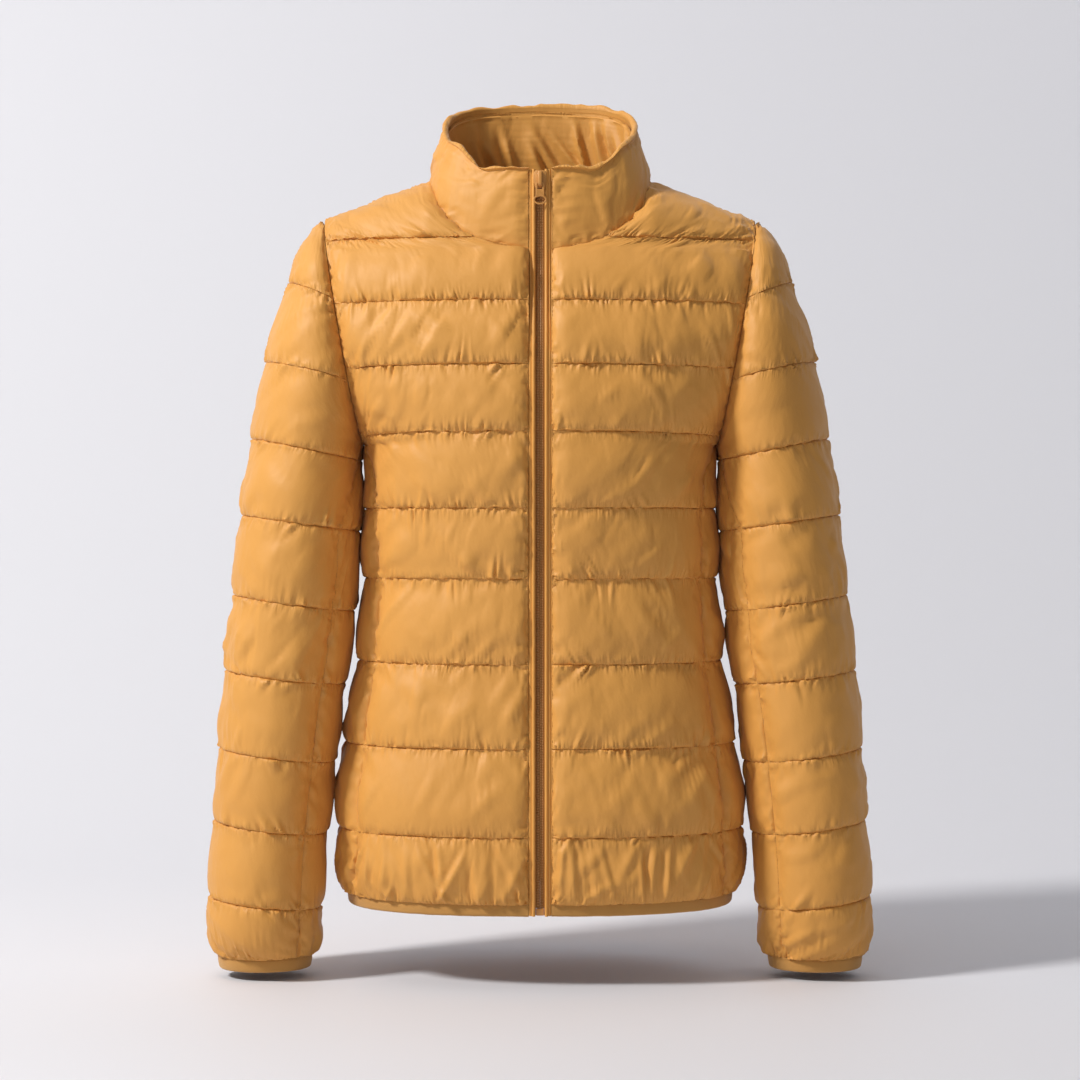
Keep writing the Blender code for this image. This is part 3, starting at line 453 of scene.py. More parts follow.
def run_lengths(grid, axis):
    """Distance run down a grid's columns (axis 0) or along its rows (axis 1) to each point."""
    steps = np.linalg.norm(np.diff(grid, axis=axis), axis=-1)
    start = np.zeros_like(np.take(steps, [0], axis=axis))
    return np.concatenate((start, np.cumsum(steps, axis=axis)), axis=axis)


def points_at(at, run, line):
    """Points at the distances at of a line of points, which lie at the distances run."""
    return np.stack([np.interp(at, run, line[:, k]) for k in range(3)], axis=-1)


def pull(points, free, one, two, rest, strength):
    """Moves pairs of points towards their distance in the flat cloth."""
    a, b = points[one], points[two]
    across = b - a
    length = np.sqrt((across * across).sum(axis=-1)) + 1e-9
    share = strength * (length - rest) / (length * (free[one] + free[two] + 1e-9))
    move = across * share[..., None]
    points[one] = a + move * free[one][..., None]
    points[two] = b - move * free[two][..., None]


def settle(face, normals, height, wider, taller, held, seeds, stiffness=0.07, room=1.6):
    """Cloth over filling: a grid, held along its seams and stitches, takes up its surplus in creases.

    face is the cloth's level at a stitch and height how far the filling lifts it. wider and taller are the
    surplus of the cloth along the rows and the columns, as shares of its length, and seeds is where creases
    start.
    """
    lifted = face + normals * height[..., None]
    rest_a = np.linalg.norm(np.diff(lifted, axis=1), axis=-1) * (1 + wider[:, 1:])
    rest_b = np.linalg.norm(np.diff(lifted, axis=0), axis=-1) * (1 + taller[1:])
    both = 1 + (wider[1:, 1:] + taller[1:, 1:]) / 2
    diagonal_a = np.sqrt(((lifted[1:, 1:] - lifted[:-1, :-1]) ** 2).sum(axis=-1)) * both
    diagonal_b = np.sqrt(((lifted[1:, :-1] - lifted[:-1, 1:]) ** 2).sum(axis=-1)) * both
    free = where_free(held)
    points = lifted + normals * ((seeds - 0.08 * height) * free)[..., None]
    low, high = 0.3 * height, height + room * np.minimum(1, height / 1.5)
    every = slice(None)
    rows, cols = face.shape[:2]
    for _ in range(SETTLE_STEPS):
        for first in (0, 1):
            a, b = slice(first, cols - 1, 2), slice(first + 1, cols, 2)
            pull(points, free, (every, a), (every, b), rest_a[:, first::2], 1.0)
            a, b = slice(first, rows - 1, 2), slice(first + 1, rows, 2)
            pull(points, free, (a, every), (b, every), rest_b[first::2], 0.8)
            pull(points, free, (a, slice(0, -1)), (b, slice(1, None)), diagonal_a[first::2], 0.25)
            pull(points, free, (a, slice(1, None)), (b, slice(0, -1)), diagonal_b[first::2], 0.25)
        lift = points - face
        mean = (lift[:, :-2] + lift[:, 2:]) / 2
        lift[:, 1:-1] += stiffness * (mean - lift[:, 1:-1]) * free[:, 1:-1, None]
        mean = (lift[:-2] + lift[2:]) / 2
        lift[1:-1] += stiffness * 0.15 * (mean - lift[1:-1]) * free[1:-1, :, None]
        rise = (lift * normals).sum(axis=-1)
        lift += normals * (np.clip(rise, low, high) - rise)[..., None] * free[..., None]
        points = face + lift
    return points


def shell(name, outer, inner, kind, near=None, closed=False, step=1):
    """A closed body between two grids of the same size, with the cloth's own lengths as its UV map.

    The inner side keeps one row in every step rows.
    """
    rows, cols = outer.shape[:2]
    kept = sorted(set(range(0, rows, step)) | {rows - 1})
    inner = inner[kept]
    spans = cols if closed else cols - 1
    first = rows * cols
    faces = []
    for count, start, turn in ((rows, 0, 1), (len(kept), first, -1)):
        r, c = np.meshgrid(np.arange(count - 1), np.arange(spans), indexing="ij")
        d = (c + 1) % cols
        quads = np.stack((r * cols + c, r * cols + d, (r + 1) * cols + d, (r + 1) * cols + c), axis=-1)
        quads = quads.reshape(-1, 4)
        faces += ((quads + start)[:, ::turn]).tolist()
    c = np.arange(spans)
    d = (c + 1) % cols
    for low, high, turn in ((0, first, 1), ((rows - 1) * cols, first + (len(kept) - 1) * cols, -1)):
        rim = np.stack((low + d, low + c, high + c, high + d), axis=-1)
        faces += (rim[:, ::turn]).tolist()
    if not closed:
        for c in (0, cols - 1):
            for k, (low, high) in enumerate(zip(kept, kept[1:])):
                below, above = first + k * cols + c, first + (k + 1) * cols + c
                faces += [[below, r * cols + c, (r + 1) * cols + c] for r in range(low, high)]
                faces.append([below, high * cols + c, above])
    points = np.concatenate((outer.reshape(-1, 3), inner.reshape(-1, 3))) * MM
    mesh = bpy.data.meshes.new(name)
    mesh.from_pydata(points.tolist(), [], faces)
    level = outer[rows // 2]
    across = run_lengths(level[None], 1)[0] - run_lengths(level[None], 1)[0].mean()
    along = run_lengths(outer.mean(axis=1)[:, None], 0)[:, 0]
    uv = np.stack((np.tile(across, (rows, 1)), np.tile(along[:, None], (1, cols))), axis=-1) * MM
    uv = np.concatenate((uv.reshape(-1, 2), uv[kept].reshape(-1, 2)))
    corners = np.empty(len(mesh.loops), dtype=int)
    mesh.loops.foreach_get("vertex_index", corners)
    mesh.uv_layers.new(name="cloth").data.foreach_set("uv", uv[corners].ravel())
    near = np.zeros((rows, cols)) if near is None else near
    near = np.concatenate((near.ravel(), 0.4 * near[kept].ravel()))
    mesh.attributes.new("stitch", "FLOAT", "POINT").data.foreach_set("value", near)
    return closed_piece(name, mesh, kind, 58)


def closed_piece(name, mesh, kind, angle):
    """A closed mesh as a piece: faces outward, smooth up to an angle in degrees, and of one material."""
    form = bmesh.new()
    form.from_mesh(mesh)
    bmesh.ops.recalc_face_normals(form, faces=form.faces)
    form.to_mesh(mesh)
    form.free()
    mesh.materials.append(MATERIALS[kind])
    mesh.shade_smooth()
    mesh.set_sharp_from_angle(angle=math.radians(angle))
    return placed(name, mesh)


def placed(name, mesh):
    """A new piece with a mesh."""
    piece = bpy.data.objects.new(name, mesh)
    PIECES.objects.link(piece)
    return piece


def applied(piece):
    """Makes what a piece's modifiers do part of its mesh."""
    bpy.context.view_layer.update()
    made = bpy.data.meshes.new_from_object(piece.evaluated_get(bpy.context.evaluated_depsgraph_get()))
    piece.modifiers.clear()
    piece.data = made
    made.shade_smooth()
    return made


def row_shares(heights):
    """For each level row, its share of its baffle's height."""
    lines = np.array(QUILTING)
    baffle = np.clip(np.searchsorted(lines, heights + 1e-6, side="right") - 1, 0, len(lines) - 2)
    return (heights - lines[baffle]) / (lines[baffle + 1] - lines[baffle])


def from_lines(v):
    """How far each point is from the nearest line of quilting, and a number for that side of that line."""
    rows = np.arange(len(v))
    low = np.minimum(rows // FINE_ROWS * FINE_ROWS, len(v) - 1 - FINE_ROWS)
    below, above = v - v[low], v[low + FINE_ROWS] - v
    nearest = low[:, None] + FINE_ROWS * (above < below)
    return np.minimum(below, above), nearest * 1.7 + 3.1 * (above < below)


def held_round(held):
    """Where the cloth is held, with all four edges."""
    held[[0, -1]] = True
    held[:, [0, -1]] = True
    return held


def where_free(held):
    """0 where the cloth is held, else 1."""
    return np.where(held, 0.0, 1.0)


def edge_fall(away, reach):
    """How full a baffle is at a distance from a seam."""
    return np.sin(np.clip(away / reach, 0, 1) * math.pi / 2) ** 0.6


def creases(rng, u, v, away, to_seam, small, broad):
    """Where creases start: gathers beside stitches, puckers along seams and slanting creases between."""
    near, seam = np.exp(-(away / 7.0) ** 2), np.exp(-to_seam / 9.0)
    bend = 14.0 * cloud(rng, u / 55.0, v / 55.0)
    gathers = cloud(rng, u / 3.7, v / 26.0) + 0.5 * cloud(rng, u / 6.5, v / 20.0)
    puckers = cloud(rng, u / 16.0, v / 5.5) + 0.5 * cloud(rng, (u + v) / 8.0, v / 14.0)
    left = cloud(rng, (u + 0.7 * v + bend) / 12.0, (v - 0.7 * u) / 46.0)
    right = cloud(rng, (u - 0.8 * v + bend) / 10.0, (v + 0.8 * u) / 40.0)
    upright = cloud(rng, (u + bend) / 15.0, v / 50.0)
    choice = cloud(rng, u / 60.0, v / 40.0)
    slanting = np.where(choice > 0, choice, 0) * left + np.where(choice < 0, -choice, 0) * right
    long = slanting + 0.35 * upright
    return small * (near * gathers + seam * puckers) + broad * (1 - near) * long


def surplus_of(rng, u, v, away, to_seam, at_stitch, between, at_seam):
    """Surplus of the cloth along the rows, gathered by stitches, and the columns, gathered by seams."""
    uneven = 1 + 0.55 * cloud(rng, u / 45.0, v / 35.0)
    wider = at_stitch * np.exp(-(away / 9.0) ** 2) + between
    taller = at_seam * np.exp(-to_seam / 10.0) + 0.012
    return wider * uneven, taller * uneven


def eased_columns(grid, shares):
    """The grid with its columns moved along its rows, so that jumps of its two edges die out inwards."""
    run = run_lengths(grid, 1) + grid[:, :1, 0]
    gaps = run_lengths(grid, 0)[:, len(shares) // 2]
    weights = np.exp(-((gaps[:, None] - gaps[None]) / 22.0) ** 2) * np.gradient(gaps)[None]
    eased = weights @ run[:, [0, -1]] / weights.sum(axis=1, keepdims=True)
    low, high = eased[:, :1], eased[:, 1:]
    at = low + (high - low) * shares
    at = at + (run[:, :1] - low) * (1 - shares) ** 5 + (run[:, -1:] - high) * shares**7
    return np.stack([points_at(*each) for each in zip(at, run, grid)])


def pinched(wave):
    """Turns soft waves into rounder folds with tighter valleys between them."""
    return 2.0 * np.sqrt(wave**2 + 0.012) - 0.75


def gathers(rng, u, v, away, which, to_seam, size):
    """Fine gathers that stitches or a seam draw into the cloth; some run on, fanned and slanting."""
    start, at_seam = 1 - np.exp(-(away / 1.0) ** 2), 1 - np.exp(-(to_seam / 1.0) ** 2)
    patch = np.clip(0.75 + 0.9 * cloud(rng, u / 19.0, which), 0.15, 1.5)
    fan = 0.8 * cloud(rng, u / 30.0, which + 0.5)
    short = np.exp(-(away / 4.6) ** 1.5) * pinched(cloud(rng, (u + fan * away) / 3.0, which + v / 18.0))
    some = np.clip(cloud(rng, u / 14.0, which + 0.3), 0, 1)
    fanned = cloud(rng, (u + 1.4 * fan * away) / 5.0, which + v / 40.0)
    long = some * np.exp(-(away / 14.0) ** 2) * pinched(fanned)
    seam = np.exp(-(to_seam / 6.0) ** 1.5) * pinched(cloud(rng, (v + 0.5 * to_seam) / 3.6, u / 20.0))
    return size * start * at_seam * (patch * 1.5 * short + 2.8 * long + 1.5 * seam)


def folds(rng, u, v, away, size):
    """Long soft creases of the cloth between its stitches, some slanting one way and some the other."""
    made = 0 * u
    bend = 9.0 * cloud(rng, u / 38.0, v / 38.0)
    for slope, width, depth in ((0.9, 15.0, 1.0), (-1.1, 14.0, 1.0), (0.2, 11.0, 0.6)):
        wave = cloud(rng, (u + slope * v + bend) / width, (v - slope * u) / (3.4 * width))
        here = np.clip(cloud(rng, u / 42.0, v / 30.0) + 0.25, 0, 1)
        made += depth * here * (1.1 * wave - 0.8 * np.exp(-(wave / 0.27) ** 2))
    return size * made * (1 - np.exp(-(away / 7.0) ** 2))


def standing_folds(rng, u, v, apart, tall, lean):
    """Soft upright folds side by side, each with its own lean, width and height and a valley beside it."""
    made = 0 * u
    for middle in np.arange(apart / 2, u.max(), apart):
        at = u - middle - rng.uniform(-0.3, 0.3) * apart - rng.uniform(-lean, lean) * (v - tall / 2)
        width, side = rng.uniform(0.2, 0.34) * apart, rng.choice((-1.0, 1.0))
        top = rng.uniform(0.6, 1.15) * tall
        ends = np.clip((top - v) / (0.35 * tall), 0, 1)
        ridge = np.exp(-(at / width) ** 2) - 0.7 * np.exp(-((at - side * 1.5 * width) / (0.8 * width)) ** 2)
        made += rng.uniform(0.5, 1.0) * ridge * ends
    return made


def body_panel(behind, seed):
    """A body panel from seam to seam: both faces, nearness to stitches, quilting and lines beside edges."""
    rng = np.random.default_rng(seed)
    columns = BACK_COLUMNS if behind else FRONT_COLUMNS
    shares = np.linspace(0, 1, columns + 1)
    half, seam = panel_grid(shares, behind)
    half = eased_columns(half, shares)
    if behind:
        inner = np.concatenate((mirrored(half)[:, :0:-1], half), axis=1)
        normals = -grid_normals(inner)
        ones = np.ones(inner.shape[1])
        ridge = RIDGE_NORMAL * np.stack((np.sign(inner[-1, :, 0]), ones, ones), axis=-1)
        at_neck = np.abs(inner[-1, :, 0]) < NECK_HALF
        normals[-1] = np.where(at_neck[:, None], neck_normal(inner[-1]), ridge)
        normals[:, 0], normals[:, -1] = mirrored(seam), seam
        edges = (0, inner.shape[1] - 1)
    else:
        inner = half
        normals = grid_normals(inner)
        normals[-1] = RIDGE_NORMAL
        at_neck = inner[:, 0, 2] > NECKLINE[0, 1]
        normals[at_neck, 0] = neck_normal(inner[at_neck, 0])
        normals[:, -1] = seam
        edges = (inner.shape[1] - 1,)
    at_arm = half[:, -1, 2] > ARMPIT - 1
    for col in edges:
        turned_to_edge(normals, inner, at_arm, col)
    t = np.concatenate((row_shares(panel_heights()), SHARES[1:]))[:, None] + 0 * inner[..., 0]
    u, v = run_lengths(inner, 1), run_lengths(inner, 0)
    to_seam = u[:, -1:] - u
    level = edge_fall(u, 20.0 if behind else 16.0) * edge_fall(to_seam, 20.0)
    fill = puff(np.clip(t, 0, 1)) * level * body_fullness(inner)
    height = ROUNDER * BODY_PUFF * fill * thinned(inner)
    face = inner + normals * (STITCHED * thinned(inner))[..., None]
    line = (np.abs(t) < 1e-6) | (np.abs(t - 1) < 1e-6)
    held = held_round(line.copy())
    away, which = from_lines(v)
    seam_away = np.minimum(u, to_seam)
    hem = np.exp(-(v / 40.0) ** 2)
    wider, taller = surplus_of(rng, u, v, away, seam_away, 0.04, 0.02 + 0.03 * hem, 0.06)
    seeds = creases(rng, u, v, away, seam_away, 0.7, 1.6 + 1.4 * hem) * np.minimum(1, height / 1.6)
    face[1:-1, 1:-1, 2] += (0.6 * cloud(rng, u / 6.0, v / 40.0) * line)[1:-1, 1:-1]
    outer = settle(face, normals, height, wider, taller, held, seeds)
    relief = gathers(rng, u, v, away, which, seam_away, 1.2) + folds(rng, u, v, away, 1.4 + 0.8 * hem)
    drawn = standing_folds(rng, u, v, 13.0, 62.0, 0.7) * (1 - np.exp(-(away / 5.0) ** 2))
    relief += 2.0 * drawn * np.clip((58.0 - v) / 14.0, 0, 1)
    outer += normals * (relief * where_free(held))[..., None]
    inner = inner - normals * (1.6 * fill * thinned(inner))[..., None]
    lines = list(outer[FINE_ROWS:-1:FINE_ROWS] + normals[FINE_ROWS:-1:FINE_ROWS] * 0.1)
    run = run_lengths(outer, 1)
    if behind:
        top = run_lengths(outer[::-1], 0)
        neck = np.flatnonzero(at_neck)[1:-1]
        beside = [points_at(NECK_STITCH, top[:, col], outer[::-1, col]) for col in neck]
        edges = [np.array(beside) + normals[-1, neck] * 0.3]
    else:
        rows = np.arange(len(outer))
        edges = []
        for part, away_from in ((rows[~at_neck], ZIP_STITCH), (rows[at_neck][:-6], NECK_STITCH)):
            beside = [points_at(away_from, run[row], outer[row]) for row in part]
            edges.append(np.array(beside) + normals[part, 2] * 0.3)
    return outer, inner, np.exp(-(away / 6.5) ** 2), lines, edges


def build_body():
    """The fronts and the back, and the lines of their quilting and of the stitches beside their edges."""
    made, quilting, edging = {}, [], []
    panels = (("front_left", False, 11, False), ("front_right", False, 12, True), ("back", True, 13, False))
    for name, behind, seed, turn in panels:
        outer, inner, near, lines, edges = body_panel(behind, seed)
        if turn:
            outer, inner = mirrored(outer), mirrored(inner)
            lines, edges = [mirrored(line) for line in lines], [mirrored(line) for line in edges]
        quilting += lines
        edging += edges
        made[name] = shell(name + "_cloth", outer, inner, "nylon", near, step=INNER_STEP)
    return made, quilting, edging


def build_sleeve(name, seed, turn):
    """One sleeve from the shoulder to the gather above its binding, mirrored to x < 0 where turn is set."""
    rng = np.random.default_rng(seed)
    turns = np.linspace(-1, 1, SLEEVE_COLUMNS + 1)
    places = np.concatenate([[0.0]] + [k + SHARES[1:] for k in range(SLEEVE_BAFFLES)])
    rows = len(places)
    made = [soft_sleeve_row(place, turns) for place in places]
    inner = np.array([row for row, _, _ in made])
    psi = np.array([angles for _, _, angles in made])
    at_arm = np.array([ends is not None for _, ends, _ in made])
    normals = grid_normals(inner)
    both = unit(normals[:, 0] + normals[:, -1])
    for k, (_, ends, _) in enumerate(made):
        normals[k, 0], normals[k, -1] = (both[k], both[k]) if ends is None else ends
    normals[-1] = unit(normals[-1] * np.array((1.0, 1.0, 0.0)))
    for col in (0, SLEEVE_COLUMNS):
        turned_to_edge(normals, inner, at_arm, col)
    baffle = np.arange(rows) // FINE_ROWS
    t = np.mod(places, 1)[:, None] + 0 * inner[..., 0]
    inner_side = (1 - np.cos(psi)) / 2
    flat_inside = 1 - 0.12 * inner_side
    z = inner[..., 2]
    upper_arm = np.clip((z + 470.0) / 60.0, 0, 1) * np.clip((-225.0 - z) / 20.0, 0, 1)
    u, v = run_lengths(inner, 1), run_lengths(inner, 0)
    to_seam = np.minimum(u, u[:, -1:] - u)
    turned = math.pi - UNDERARM_TURN * np.clip((places - ARMPIT_ROW) / 1.2, 0, 1)
    for row in np.flatnonzero(places > ARMPIT_ROW):
        off = np.abs(u[row] - np.interp(turned[row], psi[row], u[row]))
        to_seam[row] = np.minimum(off, u[row, -1] - off)
    fill = puff(1 - t) * edge_fall(to_seam, 22.0) * flat_inside
    crown = np.where(baffle >= SLEEVE_BAFFLES - 1, CUFF_PUFF, SLEEVE_PUFF)[:, None] - SLEEVE_LIFT
    height = SLEEVE_ROUNDER * ROUNDER * crown * fill * thinned(inner)
    lift = SLEEVE_LIFT * flat_inside * np.clip(np.minimum(v, v[-1:] - v) / 40.0, 0, 1)
    lift = lift + 1.3 * upper_arm * inner_side**2
    face = inner + normals * ((STITCHED + lift) * thinned(inner))[..., None]
    line = np.zeros(height.shape, dtype=bool)
    line[::FINE_ROWS] = True
    held = held_round(line.copy())
    last = np.clip((baffle - (SLEEVE_BAFFLES - 2)), 0, 1)[:, None]
    share = places[:, None] - (SLEEVE_BAFFLES - 1)
    gathered = 0.10 * last * np.clip(share, 0, 1) ** 1.5
    elbow = np.exp(-((z + 360.0) / 90.0) ** 2)
    away, which = from_lines(v)
    wider, taller = surplus_of(rng, u, v, away, to_seam, 0.04, 0.02 + 0.02 * elbow, 0.05)
    wider = wider + gathered
    seeds = creases(rng, u, v, away, to_seam, 0.7, 1.5 + 0.6 * elbow) * np.minimum(1, height / 1.4)
    seeds += last * np.clip(share, 0, 1) * 2.6 * cloud(rng, u / 8.0, v / 80.0) * np.minimum(1, height / 1.5)
    waver = 0.55 * cloud(rng, u / 6.0, v / 40.0) * line * np.minimum(1, to_seam / 6.0)
    face[1:-1, :, 2] += waver[1:-1]
    outer = settle(face, normals, height, wider, taller, held, seeds)
    relief = gathers(rng, u, v, away, which, to_seam, 1.5) + folds(rng, u, v, away, 1.3 + 0.6 * elbow)
    outer += normals * (relief * where_free(held) * flat_inside)[..., None]
    inner = inner - normals * (1.2 * fill * thinned(inner))[..., None]
    lines = list(outer[FINE_ROWS:-1:FINE_ROWS] + normals[FINE_ROWS:-1:FINE_ROWS] * 0.1)
    seam = []
    for row in np.flatnonzero(places > ARMPIT_ROW + 0.1):
        at = np.interp(turned[row], psi[row], u[row])
        seam.append(points_at(at, u[row], outer[row] + 0.15 * normals[row]))
    lines.append(np.array(seam))
    if turn:
        outer, inner = mirrored(outer), mirrored(inner)
        lines = [mirrored(line) for line in lines]
    return shell(name + "_cloth", outer, inner, "nylon", np.exp(-(away / 6.5) ** 2), step=INNER_STEP), lines


# ---- collar ----
RIM_ROWS = 4
RIM = 3.6                # how far the soft edge rises over the collar's faces
RIM_HALF = 3.0           # half of its thickness


def neck_points():
    """The neck seam from the zip to the nape for x > 0."""
    level = np.interp(np.linspace(ZIP_EDGE, neck_edge(YOKE), 16), NECKLINE[:, 0], NECKLINE[:, 1])
    heights = np.concatenate((level, YOKE * (1 - np.arange(1, 21) / 20)))
    x = np.array([neck_edge(z) for z in heights])
    front = np.stack((x, body_depth(x, heights), heights), axis=-1)
    x = back_top_places(np.linspace(0, BACK_NECK_SHARE, 26)[:-1][::-1], 0.0)
    y, z = back_top(x)
    return np.concatenate((front, np.stack((x, y, z), axis=-1)))


def collar_grid(heights, clear_low, clear_top):
    """The collar's face from zip to zip round the nape, as rows from the neck seam to the top edge."""
    low = neck_points()
    angle = ring_angle(low[:, 0] / NECK_HALF)
    top = collar_ring(np.where(low[:, 1] > 0, math.pi - angle, angle))
    low[:, 2] += clear_low
    top[:, 2] -= clear_top
    top[0, 0] = ZIP_EDGE
    half = np.array([low * (1 - h) + top * h for h in heights])
    return np.concatenate((half, mirrored(half)[:, -2::-1]), axis=1)


def even_columns(grid, count):
    """The grid with its columns spread evenly along its middle row."""
    away = run_lengths(grid, 1)[len(grid) // 2]
    at = np.linspace(0, away[-1], count)
    return np.stack([points_at(at, away, row) for row in grid])


def build_collar():
    """The collar's padded outer side with its soft rim, and the lines of the stitches beside the zip."""
    rng = np.random.default_rng(21)
    columns = 290
    heights = np.sin(np.linspace(-1, 1, COLLAR_ROWS) * math.pi / 2) / 2 + 0.5
    inner = even_columns(collar_grid(heights, 0.4, 0.0), columns)
    normals = grid_normals(inner)
    normals[0] = neck_normal(inner[0])
    u, v = run_lengths(inner, 1), run_lengths(inner, 0)
    to_end = np.minimum(u, u[:, -1:] - u)
    thick = np.interp(heights, np.linspace(0, 1, len(COLLAR_WALL)), COLLAR_WALL)[:, None]
    face = inner + normals * (2.6 + 0.8 * heights[:, None, None])
    height = np.maximum(thick - 2.6 - 0.8 * heights[:, None], 0) * edge_fall(to_end, 10.0)
    height += 0.5 * np.sin(math.pi * heights)[:, None] * edge_fall(to_end, 10.0)
    held = held_round(np.zeros(height.shape, dtype=bool))
    away = np.minimum(v, v[-1:] - v)
    wider, taller = surplus_of(rng, u, v, away, to_end, 0.08, 0.025, 0.07)
    seeds = creases(rng, u, v, away, to_end, 0.7, 1.4) * np.minimum(1, height / 1.2)
    outer = settle(face, normals, height, wider, taller, held, seeds, stiffness=0.12)
    relief = gathers(rng, u, v, away, 0 * u, to_end, 0.5) + folds(rng, u, v, away, 1.7)
    outer += normals * (relief * where_free(held))[..., None]
    crumple = 1 + 0.6 * cloud(rng, u[-1] / 14.0, 0 * u[-1]) + 0.3 * cloud(rng, u[-1] / 6.0, 0 * u[-1] + 7.3)
    up = unit(inner[-1] - inner[-2]) * (RIM * crumple)[:, None]
    across = normals[-1] * RIM_HALF
    turns = np.linspace(0.0, 0.5, RIM_ROWS + 2)[1:-1] * math.pi
    rim = [inner[-1] + across * (1 + math.cos(a)) + up * math.sin(a) for a in turns]
    inner_rim = [inner[-1] + across * (1 - math.cos(a)) + up * math.sin(a) for a in turns]
    outer = np.concatenate((outer, np.array(rim)))
    inner = np.concatenate((inner, np.array(inner_rim)))
    near = np.zeros(outer.shape[:2])
    near[0] = near[COLLAR_ROWS - 1:] = 1.0
    edges = []
    for end in (slice(None), slice(None, None, -1)):
        run = run_lengths(outer[:, end], 1)
        beside = [points_at(ZIP_STITCH, run[row], outer[row, end]) for row in range(1, COLLAR_ROWS)]
        edges.append(np.array(beside) + normals[1:, end][:, 3] * 0.3)
    return shell("collar_cloth", outer, inner, "nylon", near), edges


def build_facing():
    """The collar's inner side, cut longer than the collar and gathered into it."""
    rng = np.random.default_rng(22)
    columns = 280
    heights = np.concatenate((np.linspace(0, 0.9, 32), (0.935, 0.96, 0.98, 1.0)))
    face = even_columns(collar_grid(heights, 0.4, 3.2), columns)
    away = -grid_normals(face)
    u, v = run_lengths(face, 1), run_lengths(face, 0)
    to_end = np.minimum(u, u[:, -1:] - u)
    level = edge_fall(to_end, 10.0) * np.sin(np.clip(heights * 1.03 + 0.02, 0, 1) * math.pi)[:, None] ** 0.5
    height = 3.2 * level
    held = held_round(np.zeros(height.shape, dtype=bool))
    wider = 0.04 * (1 + 0.5 * cloud(rng, u / 50.0, v / 40.0))
    drape = standing_folds(rng, u, v, 16.0, v.max(), 0.35)
    seeds = 2.5 * drape * np.minimum(1, height / 1.5)
    taller = 0 * wider + 0.02
    outer = settle(face + away * 0.5, away, height, wider, taller, held, seeds, stiffness=0.12, room=3.0)
    relief = 5.0 * drape * level + 0.6 * folds(rng, u, v, 0 * u + 20.0, 1.0)
    outer += away * (relief * where_free(held))[..., None]
    near = np.zeros(height.shape)
    near[-2:] = 1.0
    sewn = outer[-2] + away[-2] * 0.25
    return shell("collar_facing_cloth", outer, face + away * 0.25, "nylon", near), sewn


# ---- bindings ----
FOLD = 0.9               # thickness of a binding's knit strip


def folded_strip(foot, across, up, high, thick, rng, u):
    """Both skins of a strip folded over an edge: down its outer side, round the edge and up inside."""
    outer, inner = [], []
    half = thick / 2
    wave = 0.6 * cloud(rng, u / 9.0, 0 * u) + 0.4 * cloud(rng, u / 4.0, 0 * u + 5.1)
    turns = np.linspace(0, math.pi, 9)
    path = [(half, high), (half + 0.25, high * 0.85), (half + 0.45, high * 0.6), (half + 0.3, high * 0.4)]
    path += [(half * math.cos(a), half * (1 - math.sin(a))) for a in turns]
    path += [(-half, high * 0.5), (-half, high * 0.75), (-half, high)]
    path = np.array(path)
    lean = np.gradient(path, axis=0)
    out = np.stack((-lean[:, 1], lean[:, 0]), axis=-1)
    out = out / np.linalg.norm(out, axis=-1, keepdims=True)
    for (px, pz), (ox, oz) in zip(path, out):
        puffed = px + math.copysign(1, px) * 0.25 * wave
        middle = foot + across * puffed[:, None] + up * (pz + 0.25 * wave[:, None])
        turn = across * ox + up * oz
        outer.append(middle + turn * FOLD / 2)
        inner.append(middle - turn * FOLD / 2)
    return np.array(outer), np.array(inner)


def build_hem_binding():
    """The strip round the hem, its length and the line of its stitches."""
    rng = np.random.default_rng(31)
    count = 420
    first = ring_angle(ZIP_EDGE / GIRTH[0, 1])
    half = body_ring(first + (math.pi - first) * np.linspace(0, 1, 240), HEM_EDGE)
    half[0, 0], half[-1, 0] = ZIP_EDGE, 0.0
    line = even_columns(np.concatenate((half, mirrored(half)[-2::-1]))[None], count)[0]
    along = unit(np.gradient(line, axis=0))
    across = unit(np.cross(along, np.array((0.0, 0.0, 1.0))))
    across *= np.sign((across * (line - line.mean(axis=0))).sum(axis=-1, keepdims=True))
    u = run_lengths(line[None], 1)[0]
    high = BINDING_TOP - HEM_EDGE + 0.9
    up = np.array((0.0, 0.0, 1.0))
    outer, inner = folded_strip(line + across * 1.0, across, up, high, BINDING_WALL - FOLD, rng, u)
    return shell("hem_binding_cloth", outer, inner, "binding"), float(u[-1]), outer[1] + across * 0.25


def build_cuff_binding(name, seed, turn):
    """The strip round a cuff, its length and the line of its stitches."""
    rng = np.random.default_rng(seed)
    count = 150
    turns = np.linspace(-1, 1, count + 1)[:-1]
    row, _, _ = sleeve_row(float(SLEEVE_BAFFLES), turns)
    line = row.copy()
    line[:, 2] = CUFF_EDGE
    away = unit((line - line.mean(axis=0)) * np.array((1.0, 1.0, 0.0)))
    u = run_lengths(line[None], 1)[0]
    round_u = u[-1] / 2 / math.pi * (1 + np.sin(u / u[-1] * 2 * math.pi))
    up = np.array((0.0, 0.0, 1.0)) + away * 0.08
    high = CUFF_TOP - CUFF_EDGE + 0.6
    outer, inner = folded_strip(line + away * 0.1, away, up, high, BINDING_WALL - FOLD, rng, round_u)
    sewn = outer[1] + away * 0.25
    if turn:
        outer, inner, sewn = mirrored(outer), mirrored(inner), mirrored(sewn)
    piece = shell(name + "_cloth", outer, inner, "binding", closed=True)
    return piece, float(u[-1]), np.concatenate((sewn, sewn[:1]))


